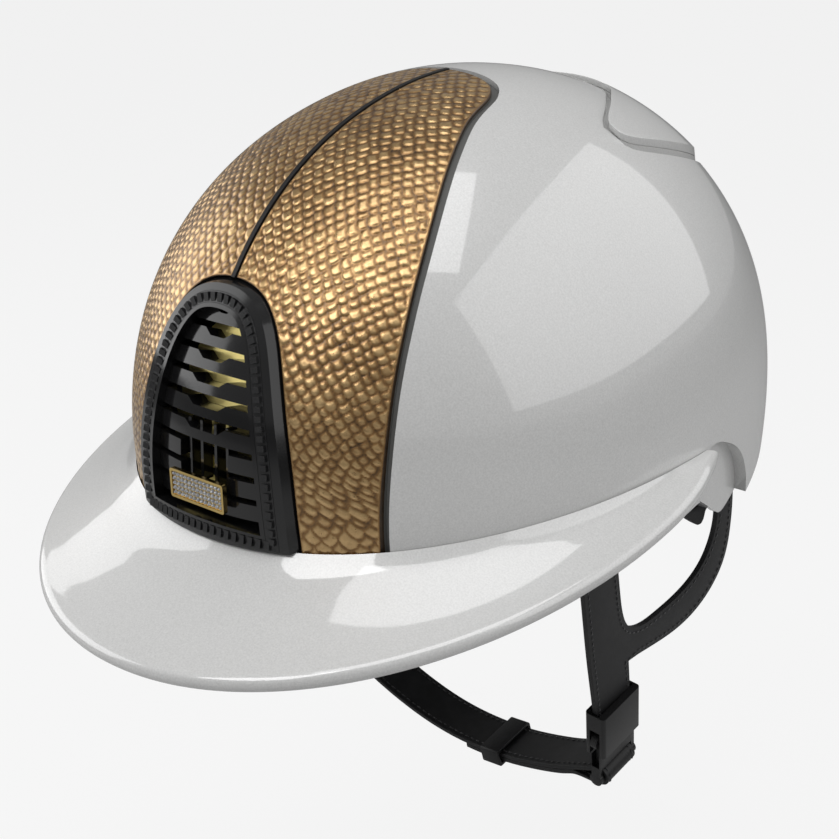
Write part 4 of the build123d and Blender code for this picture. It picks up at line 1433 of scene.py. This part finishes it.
def softened(piece: bpy.types.Object, width: float, segments: int = 3) -> None:
    """Round a piece's hard edges and keep the result in its mesh.

    Args:
        piece: The piece.
        width: Width of the rounding, in millimetres.
        segments: Facets across it.
    """
    rounded_over, crisp_over = math.radians(40), math.radians(50)
    bevel = piece.modifiers.new("rounding", "BEVEL")
    bevel.width = width * MM
    bevel.segments = segments
    bevel.limit_method = "ANGLE"
    bevel.angle_limit = rounded_over
    bevel.harden_normals = False
    settle_modifiers(piece)
    piece.data.shade_smooth()
    piece.data.set_sharp_from_angle(angle=crisp_over)


def settle_modifiers(piece: bpy.types.Object) -> None:
    """Put a piece's modifiers into its mesh and take them off."""
    bpy.context.view_layer.update()
    graph = bpy.context.evaluated_depsgraph_get()
    mesh = bpy.data.meshes.new_from_object(piece.evaluated_get(graph))
    old = piece.data
    piece.modifiers.clear()
    piece.data = mesh
    bpy.data.meshes.remove(old)


@dataclass
class FlatStrap:
    """Forked side strap: rounded leather edges with a row of stitches just inside them.

    All sizes are in millimetres.

    Attributes:
        side: 1 on the wearer's left, -1 on the right.
        node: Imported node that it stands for.
        inset: Distance of the stitches from the edge.
        lean: Lean of the strap's plane along y and z.
        flatness: Least agreement of a face's direction with the strap's.
        shortest: Length of the shortest outline that is sewn.
        rounding: Width of the rounding of the edges.
    """

    side: int
    node: str
    inset: float = 2.2
    lean: tuple[float, float] = (0.04, 0.12)
    flatness: float = 0.995
    shortest: float = 90.0
    rounding: float = 0.55

    def facing(self) -> np.ndarray:
        """Unit direction out of the strap, away from the face."""
        way = np.array([self.side * 1.0, -self.lean[0], -self.lean[1]])
        return way / np.linalg.norm(way)

    def build(self, frame: dict, wardrobe: Wardrobe) -> list[bpy.types.Object]:
        """Build the strap and its stitching.

        Args:
            wardrobe: Finishes.

        Returns:
            The strap and its stitches.
        """
        made = copy_node(frame, self.node, f"{self.node}_sewn")
        flat = FineMesh.read(made)
        sewing = Stitching()
        outward_way = self.facing()
        for way in (outward_way, -outward_way):
            chosen = flat.faces[flat.facings() @ way > self.flatness]
            for loop in border_loops(chosen):
                path = flat.points[loop]
                ahead = np.roll(path, -1, axis=0) - np.roll(path, 1, axis=0)
                if np.linalg.norm(np.diff(path, axis=0), axis=1).sum() < self.shortest:
                    continue
                inner = np.cross(way, ahead)
                inner /= np.maximum(np.linalg.norm(inner, axis=1, keepdims=True), TINY)
                row = evened(path + inner * self.inset)
                sewing.row(row, np.repeat(way[None], len(row), axis=0), True)
        softened(made, self.rounding)
        wardrobe.dress(made, Finish.STRAP)
        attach(made, Body.HELMET.value)
        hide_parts(self.node)
        stitches = sewing.build(f"{self.node}_stitches", Body.HELMET, "strap_black", wardrobe)
        return [made, stitches]


def evened(path: np.ndarray, gap: float = 0.9) -> np.ndarray:
    """Path thinned out so that its points lie a gap apart."""
    kept = [path[0]]
    for spot in path[1:]:
        if np.linalg.norm(spot - kept[-1]) > gap:
            kept.append(spot)
    return np.array(kept)


@dataclass
class ChinBand:
    """Chin strap of sewn leather layers, with the buckle's plug sewn into its end.

    All sizes are in millimetres.

    Attributes:
        middle_y: Place of the band's middle.
        half_width: Half of its width.
        inset: Distance of the stitches from its edges.
        off_points: Shift that keeps the cutting plane off the mesh's own points.
        fewest: Fewest points of an outline that is sewn.
        rounding: Width of the rounding of the edges.
    """

    middle_y: float = -21.0
    half_width: float = 9.8
    inset: float = 2.0
    off_points: float = 0.013
    fewest: int = 8
    rounding: float = 0.5

    def slice_loops(self, mesh: FineMesh, y: float) -> list[np.ndarray]:
        """Outlines where a level-frame plane across the band cuts its mesh.

        Args:
            mesh: The band.
            y: Place of the plane.

        Returns:
            Closed outlines on the plane.
        """
        side = mesh.points[:, 1] - y
        onward: dict[tuple[int, int], tuple[int, int]] = {}
        spots: dict[tuple[int, int], np.ndarray] = {}
        for face in mesh.faces[np.ptp(np.sign(side[mesh.faces]), axis=1) > 1]:
            ends = []
            for first, second in ((face[0], face[1]), (face[1], face[2]), (face[2], face[0])):
                if side[first] * side[second] >= 0:
                    continue
                key = (int(min(first, second)), int(max(first, second)))
                share = side[first] / (side[first] - side[second])
                spots[key] = mesh.points[first] + (mesh.points[second] - mesh.points[first]) * share
                ends.append((key, bool(side[first] > 0)))
            if len(ends) == 2:
                leaving = ends[0] if ends[0][1] else ends[1]
                arriving = ends[1] if ends[0][1] else ends[0]
                onward[leaving[0]] = arriving[0]
        loops = []
        while onward:
            start, step = next(iter(onward.items()))
            path = [spots[start]]
            del onward[start]
            while step != start and step in onward:
                path.append(spots[step])
                step = onward.pop(step)
            loops.append(np.array(path))
        return loops

    def build(self, frame: dict, wardrobe: Wardrobe) -> list[bpy.types.Object]:
        """Build the band and its stitching.

        Args:
            wardrobe: Finishes.

        Returns:
            The band and its stitches.
        """
        made = copy_node(frame, "chin_strap", "chin_strap_sewn")
        mesh = FineMesh.read(made)
        sewing = Stitching()
        for offset in (-1, 1):
            y = self.middle_y + offset * (self.half_width - self.inset) + self.off_points
            for path in self.slice_loops(mesh, y):
                if len(path) < self.fewest:
                    continue
                ahead = np.roll(path, -1, axis=0) - np.roll(path, 1, axis=0)
                way = np.cross(ahead, np.array([0.0, 1.0, 0.0]))
                way /= np.maximum(np.linalg.norm(way, axis=1, keepdims=True), TINY)
                x, z = path[:, 0], path[:, 2]
                area = float(np.sum(x * np.roll(z, -1) - z * np.roll(x, -1)))
                row = evened(path)
                ways = way[[int(np.argmin(np.linalg.norm(path - spot, axis=1))) for spot in row]]
                sewing.row(row, ways * (1 if area < 0 else -1), True)
        softened(made, self.rounding)
        wardrobe.dress(made, Finish.CHIN)
        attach(made, Body.CHIN.value)
        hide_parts("chin_strap")
        stitches = sewing.build("chin_strap_stitches", Body.CHIN, "chin_leather", wardrobe)
        return [made, stitches]


# Visor


@dataclass
class Visor:
    """Wide visor whose sections run out from the dome to a rolled lip.

    All sizes are in millimetres in the visor's level frame.

    Attributes:
        half_width: Reach sideways.
        front: Reach forwards from the outline's centre.
        rear: Reach backwards from the outline's centre.
        centre_y: Place of the outline's centre.
        power: Fullness of the outline, 2 for an ellipse.
        edge_z: Height of the lip.
        lip: Radius of the rolled lip.
        widest_lip: Greatest lip, as a share of the visor's width there.
        wall: Thickness near the dome.
        tail_angle: Compass angle at which the visor ends, in degrees.
        root: Gap between the visor's top and the dome.
        seam: Places along the helmet and the seam's height there.
        cove: Places across a section and the drop there, as shares.
        foot: Height of the face that lies on the dome.
        clearance: Gap between that face and the dome.
        sections: Number of sections.
        crisp: Angle in degrees over which an edge stays crisp.
    """

    half_width: float = 128.4
    front: float = 158.8
    rear: float = 115.0
    centre_y: float = -29.0
    power: float = 2.05
    edge_z: float = -1.0
    lip: float = 3.4
    wall: float = 4.2
    tail_angle: float = 113.0
    root: float = 0.4
    seam: tuple[tuple[float, float], ...] = ((-135.1, 20.0), (-28.0, 8.6), (21.0, -0.9))
    cove: tuple[tuple[float, float], ...] = ((0.16, 0.30), (0.42, 0.58), (0.74, 0.84))
    foot: float = 6.0
    clearance: float = 0.1
    widest_lip: float = 0.42
    sections: int = 181
    crisp: float = 40.0

    def seam_height(self, y: float) -> float:
        """Height of the seam with the shell at a place along the helmet."""
        total = 0.0
        for own_y, own_z in self.seam:
            factor = own_z
            for other_y, _ in self.seam:
                if other_y != own_y:
                    factor *= (y - other_y) / (own_y - other_y)
            total += factor
        return total

    def dome_radius(self, angle: float, z: float) -> float:
        """Distance from the visor's centre to the dome along a compass angle at a height."""
        near, far, halvings = 0.0, 280.0, 34
        for _ in range(halvings):
            middle = (near + far) / 2
            spot = np.array([middle * math.sin(angle), self.centre_y - middle * math.cos(angle), z])
            near, far = (middle, far) if float(FORM.value(spot)) < 1 else (near, middle)
        return near

    def section(self, angle: float) -> np.ndarray:
        """Closed section of the visor at a compass angle.

        Args:
            angle: Angle from straight ahead, in radians.

        Returns:
            Points in the level frame, round the section.
        """
        top_points, lip_points, under_points, foot_points, settlings = 22, 13, 16, 5, 4
        seam_z = self.seam[1][1]
        radius = self.dome_radius(angle, seam_z)
        for _ in range(settlings):
            seam_z = self.seam_height(self.centre_y - radius * math.cos(angle))
            radius = self.dome_radius(angle, seam_z)
        length = self.front if math.cos(angle) > 0 else self.rear
        along = abs(math.cos(angle) / length) ** self.power
        aside = abs(math.sin(angle) / self.half_width) ** self.power
        reach = (along + aside) ** (-1 / self.power)
        width = reach - radius
        lip = min(self.lip, width * self.widest_lip)
        lip_z = min(self.edge_z, seam_z - lip)
        start = radius + self.root
        run = width - lip - self.root
        drop = seam_z - lip_z - lip
        knots = [(start, seam_z)]
        knots += [(start + run * a, seam_z - drop * b) for a, b in self.cove]
        knots.append((reach - lip, lip_z + lip))
        top = smooth_run(np.array(knots), top_points)
        turn = np.linspace(math.pi / 2, -math.pi / 2, lip_points)[1:-1]
        edge = np.stack([reach - lip + lip * np.cos(turn), lip_z + lip * np.sin(turn)], axis=-1)
        low_knots = [(reach - lip, lip_z - lip)]
        low_knots += [(r, z - self.wall) for r, z in reversed(knots[1:-1])]
        foot_z = seam_z - self.foot
        low_knots.append((self.dome_radius(angle, foot_z) + self.clearance, foot_z))
        under = smooth_run(np.array(low_knots), under_points)
        foot = np.linspace(foot_z, seam_z, foot_points)[1:-1]
        root = np.array([(self.dome_radius(angle, z) + self.clearance, z) for z in foot])
        path = np.concatenate([top, edge, under, root])
        x = path[:, 0] * math.sin(angle)
        y = self.centre_y - path[:, 0] * math.cos(angle)
        return np.stack([x, y, path[:, 1]], axis=-1)

    def build(self, wardrobe: Wardrobe) -> bpy.types.Object:
        """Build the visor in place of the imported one.

        Args:
            wardrobe: Finishes.

        Returns:
            The finished piece.
        """
        angles = np.radians(np.linspace(-self.tail_angle, self.tail_angle, self.sections))
        rings = np.stack([self.section(float(angle)) for angle in angles])
        rows, columns = rings.shape[:2]
        faces = grid_faces(rows, columns, closed=True)
        faces.append(tuple(reversed(range(columns))))
        faces.append(tuple(range((rows - 1) * columns, rows * columns)))
        made = piece_from("visor_smooth", worn(rings.reshape(-1, 3)), faces)
        outward(made)
        made.data.set_sharp_from_angle(angle=math.radians(self.crisp))
        wardrobe.dress(made, Finish.VISOR)
        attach(made, Body.HELMET.value)
        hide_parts("polo_visor")
        return made


def smooth_run(knots: np.ndarray, count: int) -> np.ndarray:
    """Smooth run through a few points, evenly spread.

    Args:
        knots: Points to pass through.
        count: Number of points wanted.

    Returns:
        Points of the run, both ends included.
    """
    gaps = np.linalg.norm(np.diff(knots, axis=0), axis=1)
    places = np.concatenate([[0.0], np.cumsum(np.maximum(gaps, TINY))])
    slopes = np.gradient(knots, places, axis=0)
    wanted = np.linspace(0, places[-1], count)
    index = np.clip(np.searchsorted(places, wanted, side="right") - 1, 0, len(places) - 2)
    span = places[index + 1] - places[index]
    t = ((wanted - places[index]) / span)[:, None]
    first, second = knots[index], knots[index + 1]
    lean, later = slopes[index] * span[:, None], slopes[index + 1] * span[:, None]
    return (
        (2 * t**3 - 3 * t**2 + 1) * first + (t**3 - 2 * t**2 + t) * lean
        + (-2 * t**3 + 3 * t**2) * second + (t**3 - t**2) * later
    )


def outward(piece: bpy.types.Object) -> None:
    """Turn a closed piece's faces outwards."""
    work = bmesh.new()
    work.from_mesh(piece.data)
    bmesh.ops.recalc_face_normals(work, faces=work.faces)
    work.to_mesh(piece.data)
    work.free()


# Pads


@dataclass
class Pad:
    """Quilted pad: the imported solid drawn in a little, then blown up as cloth and capped.

    All sizes are in millimetres.

    Attributes:
        node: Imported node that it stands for.
        finish: Its fabric.
        voxel: Size of the even mesh that the cloth starts from.
        shrink: How far it is drawn in before it is blown up.
        cap: How far a point may move.
        fill: Tightness of the pad; not used.
        pressure: Air pressure in the cloth.
        frames: Frames that the cloth runs for.
        thinnest: Least thickness in usual voxels; a thinner pad has half voxels.
    """

    node: str
    finish: Finish
    voxel: float = 4.0
    shrink: float = 0.7
    cap: float = 2.4
    fill: float = 0.6
    pressure: float = 4.0
    frames: int = 20
    thinnest: float = 1.2

    def build(self, frame: dict, wardrobe: Wardrobe) -> bpy.types.Object:
        """Blow up and dress the pad.

        Args:
            wardrobe: Finishes.

        Returns:
            The finished pad.
        """
        made = copy_node(frame, self.node, f"{self.node}_soft")
        remesh = made.modifiers.new("even_mesh", "REMESH")
        remesh.mode = "VOXEL"
        remesh.voxel_size = self.voxel * MM * 0.5 if self.thin(made) else self.voxel * MM
        settle_modifiers(made)
        start = self.drawn_in(made)
        self.blow_up(made, start)
        smooth = made.modifiers.new("smooth", "SUBSURF")
        smooth.levels = 1
        smooth.render_levels = 1
        settle_modifiers(made)
        made.data.shade_smooth()
        wardrobe.dress(made, self.finish)
        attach(made, Body.HELMET.value)
        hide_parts(self.node)
        return made

    def thin(self, piece: bpy.types.Object) -> bool:
        """Whether the pad is too thin for the usual voxel."""
        work = bmesh.new()
        work.from_mesh(piece.data)
        volume = abs(work.calc_volume())
        area = sum(face.calc_area() for face in work.faces)
        work.free()
        return volume / area * 2 < self.voxel * MM * self.thinnest

    def drawn_in(self, piece: bpy.types.Object) -> np.ndarray:
        """Draw the pad in along its normals and return where its points are."""
        normals = np.empty(len(piece.data.vertices) * 3)
        piece.data.vertices.foreach_get("normal", normals)
        points = mesh_points(piece.data) - normals.reshape(-1, 3) * self.shrink * MM
        piece.data.vertices.foreach_set("co", points.ravel())
        piece.data.update()
        return points

    def blow_up(self, piece: bpy.types.Object, start: np.ndarray) -> None:
        """Run the cloth, then cap how far each point moved.

        Args:
            piece: The pad.
            start: Where its points began.
        """
        fabric = {
            "quality": 5, "mass": 0.15, "tension_stiffness": 12, "compression_stiffness": 12,
            "bending_stiffness": 0.6, "use_pressure": True, "uniform_pressure_force": self.pressure,
        }
        scene = bpy.context.scene
        scene.frame_set(1)
        cloth = piece.modifiers.new("cloth", "CLOTH")
        for key, value in fabric.items():
            setattr(cloth.settings, key, value)
        cloth.settings.effector_weights.gravity = 0.0
        cloth.point_cache.frame_start = 1
        cloth.point_cache.frame_end = self.frames
        for step in range(1, self.frames + 1):
            scene.frame_set(step)
        graph = bpy.context.evaluated_depsgraph_get()
        moved = mesh_points(piece.evaluated_get(graph).data).copy()
        piece.modifiers.clear()
        scene.frame_set(1)
        travel = moved - start
        length = np.linalg.norm(travel, axis=1, keepdims=True)
        travel *= np.minimum(1.0, self.cap * MM / np.maximum(length, TINY * MM))
        piece.data.vertices.foreach_set("co", (start + travel).ravel())
        piece.data.update()


@dataclass
class VisorScrews:
    """The visor's screws, with their tips kept under the visor's skin.

    All sizes are in millimetres.

    Attributes:
        tip: Farthest that a tip reaches sideways.
        crisp: Angle in degrees over which an edge stays crisp.
    """

    tip: float = 113.0
    crisp: float = 34.0

    def build(self, frame: dict, wardrobe: Wardrobe) -> bpy.types.Object:
        """Copy and dress the screws.

        Args:
            wardrobe: Finishes.

        Returns:
            The finished piece.
        """
        rough = copy_node(frame, "visor_screws", "rough_copy")
        fine = FineMesh.read(rough)
        bpy.data.objects.remove(rough)
        fine.points[:, 0] = np.clip(fine.points[:, 0], -self.tip, self.tip)
        made = fine.write("visor_screws_seated", False, self.crisp)
        wardrobe.dress(made, Finish.STEEL)
        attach(made, Body.HELMET.value)
        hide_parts("visor_screws")
        return made


@dataclass
class SoftTrim:
    """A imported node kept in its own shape, with its hard edges rounded.

    Attributes:
        node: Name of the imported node.
        finish: Its finish.
        body: Body that it rides on.
        width: Width of the rounding, in millimetres.
        segments: Facets across the rounding.
    """

    node: str
    finish: Finish
    body: Body
    width: float = 0.5
    segments: int = 3

    def build(self, frame: dict, wardrobe: Wardrobe) -> bpy.types.Object:
        """Copy, round and dress the node.

        Args:
            wardrobe: Finishes.

        Returns:
            The finished piece.
        """
        made = copy_node(frame, self.node, f"{self.node}_rounded")
        softened(made, self.width, self.segments)
        wardrobe.dress(made, self.finish)
        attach(made, self.body.value)
        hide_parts(self.node)
        return made


# Studio


@dataclass(frozen=True)
class Lamp:
    """Soft lamp with a rectangular face, turned to the helmet.

    Attributes:
        name: Name of the lamp.
        place: Where it stands, in metres.
        wide: Width of its face in metres.
        high: Height of its face in metres.
        power: Watts.
    """

    name: str
    place: tuple[float, float, float]
    wide: float
    high: float
    power: float

    def build(self) -> None:
        """Place the lamp."""
        data = bpy.data.lights.new(self.name, "AREA")
        data.shape = "RECTANGLE"
        data.size = self.wide
        data.size_y = self.high
        data.energy = self.power
        made = bpy.data.objects.new(self.name, data)
        made.location = self.place
        made.rotation_euler = (-Vector(self.place)).to_track_quat("-Z", "Y").to_euler()
        bpy.context.scene.collection.objects.link(made)


LAMPS = (
    Lamp("key_lamp", (-0.03, -1.17, 1.14), 0.8, 0.8, 8.0),
    Lamp("left_lamp", (-1.23, -0.57, 0.40), 1.4, 0.9, 7.5),
    Lamp("side_lamp", (0.86, 0.51, 0.57), 1.9, 1.05, 6.5),
    Lamp("top_lamp", (0.35, -0.35, 1.7), 1.3, 1.3, 12.0),
)


@dataclass
class Studio:
    """Pale floor, soft lamps, white surround and the camera at the photograph's angle.

    Lengths are in metres.

    Attributes:
        floor_drop: Depth of the floor below the lowest packed point.
        floor_half: Half of the floor's width.
        floor_glow: Share of even white in the floor as the camera sees it.
        ambient: Strength of the surround as a light.
        mirrored: Share of the white surround that mirrors see.
        lens: Focal length in millimetres.
        shift: Shift of the picture.
        eye: Place of the camera.
        right: Its right-hand direction.
        up: Its upward direction.
        back: Direction away from what it looks at.
    """

    floor_drop: float = 0.12
    floor_half: float = 12.0
    floor_glow: float = 0.86
    ambient: float = 0.20
    mirrored: float = 0.2
    lens: float = 73.8
    shift: tuple[float, float] = (0.0027, -0.0548)
    eye: tuple[float, float, float] = (0.4351, -0.5126, 0.2383)
    right: tuple[float, float, float] = (0.7504, 0.6611, -0.0040)
    up: tuple[float, float, float] = (-0.2056, 0.2391, 0.9490)
    back: tuple[float, float, float] = (0.6282, -0.7113, 0.3153)

    def camera(self) -> None:
        """Place the camera."""
        data = bpy.data.cameras.new("photo_camera")
        data.lens = self.lens
        data.sensor_width = 36.0
        data.shift_x, data.shift_y = self.shift
        data.clip_start = 0.01
        data.clip_end = 50.0
        made = bpy.data.objects.new("photo_camera", data)
        basis = Matrix((self.right, self.up, self.back)).transposed()
        made.matrix_world = Matrix.Translation(self.eye) @ basis.to_4x4()
        bpy.context.scene.collection.objects.link(made)
        bpy.context.scene.camera = made

    def surround(self) -> None:
        """White surround as the camera and mirrors see it, softer as a light."""
        world = bpy.data.worlds.new("studio_surround")
        bpy.context.scene.world = world
        world.use_nodes = True
        tree = world.node_tree
        back = tree.nodes["Background"]
        back.inputs["Color"].default_value = (1.0, 1.0, 1.0, 1.0)
        back.inputs["Strength"].default_value = self.ambient
        white = tree.nodes.new("ShaderNodeBackground")
        white.inputs["Strength"].default_value = 1.0
        path = tree.nodes.new("ShaderNodeLightPath")
        mix = tree.nodes.new("ShaderNodeMixShader")
        in_mirrors = Wire(tree, path.outputs["Is Glossy Ray"]) * self.mirrored
        seen = Wire(tree, path.outputs["Is Camera Ray"]).most(in_mirrors)
        tree.links.new(seen.value, mix.inputs["Fac"])
        tree.links.new(back.outputs["Background"], mix.inputs[1])
        tree.links.new(white.outputs["Background"], mix.inputs[2])
        tree.links.new(mix.outputs["Shader"], tree.nodes["World Output"].inputs["Surface"])

    def floor(self) -> None:
        """Lay the pale floor below the hanging straps."""
        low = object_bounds()[0][2] - self.floor_drop
        size = self.floor_half
        corners = np.array([(-size, -size, low), (size, -size, low), (size, size, low), (-size, size, low)])
        made = piece_from("studio_floor", corners, [(0, 1, 2, 3)], smooth=False)
        bench = Bench("studio_floor")
        bench.set(Base_Color=linear(190, 190, 190), Roughness=0.9)
        glow = bench.node("ShaderNodeEmission", Strength=1.0)
        seen = bench.wire(bench.node("ShaderNodeLightPath").outputs["Is Camera Ray"])
        mix = bench.node("ShaderNodeMixShader", Fac=seen * self.floor_glow)
        bench.tree.links.new(bench.shader.outputs["BSDF"], mix.inputs[1])
        bench.tree.links.new(glow.outputs["Emission"], mix.inputs[2])
        bench.tree.links.new(mix.outputs["Shader"], bench.tree.nodes["Material Output"].inputs["Surface"])
        made.data.materials.append(bench.material)
        made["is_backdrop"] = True

    def build(self) -> None:
        """Set up the whole studio."""
        self.camera()
        self.surround()
        self.floor()
        for lamp in LAMPS:
            lamp.build()
        bpy.context.scene.view_settings.view_transform = "Standard"


# Assembly


PLAIN_FINISHES: dict[str, Finish] = {
    "panel_carrier": Finish.CARRIER,
    "panel_piping": Finish.PIPING,
    "grille_frame": Finish.GRILLE,
    "grille_beading": Finish.BEADING,
    "vent_shutter": Finish.SHUTTER,
    "shutter_tab": Finish.TAB,
    "tab_stones": Finish.STONE,
    "rear_vent_screen": Finish.GRILLE,
    "foam_liner": Finish.FOAM,
    "strap_anchors": Finish.ANCHOR,
    "strap_rivets": Finish.STEEL,
    "release_prong_front": Finish.BUCKLE,
    "release_prong_rear": Finish.BUCKLE,
}


def main() -> None:
    """Build every piece in order."""
    logging.basicConfig(level=logging.INFO, format="%(name)s: %(message)s")
    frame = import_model()
    wardrobe = Wardrobe()
    for node, finish in PLAIN_FINISHES.items():
        wardrobe.dress(frame["nodes"][node], finish)
    pieces = [Visor().build(wardrobe)]
    for maker in (
        VisorScrews(),
        DomedPiece("outer_shell", Finish.SHELL),
        DomedPiece("rear_vent_cover", Finish.SHELL, rounding=0.9),
        ScaleSkin("panel_skin_left"),
        ScaleSkin("panel_skin_right", seed=19),
        Pad("brow_pad", Finish.PAD),
        Pad("nape_pad", Finish.PAD),
        Pad("crown_pad", Finish.PAD),
        Pad("side_pad_left", Finish.PAD),
        Pad("side_pad_right", Finish.PAD),
        Pad("ear_flap_left", Finish.FLAP, voxel=3.0, cap=1.2),
        Pad("ear_flap_right", Finish.FLAP, voxel=3.0, cap=1.2),
        SoftTrim("liner_edge_cover", Finish.EDGE, Body.HELMET, 0.8),
        SoftTrim("strap_keeper", Finish.CHIN, Body.KEEPER, 0.35),
        SoftTrim("strap_ring", Finish.BUCKLE, Body.HELMET, 0.5),
        SoftTrim("buckle_socket", Finish.BUCKLE, Body.HELMET, 0.7),
        SoftTrim("buckle_plug", Finish.BUCKLE, Body.CHIN, 0.5),
    ):
        pieces.append(maker.build(frame, wardrobe))
    for strap in (FlatStrap(1, "strap_left"), FlatStrap(-1, "strap_right"), ChinBand()):
        pieces += strap.build(frame, wardrobe)
    for piece in pieces:
        log.info("%s: %d points", piece.name, len(piece.data.vertices))
    Studio().build()


if __name__ == "__main__":
    main()
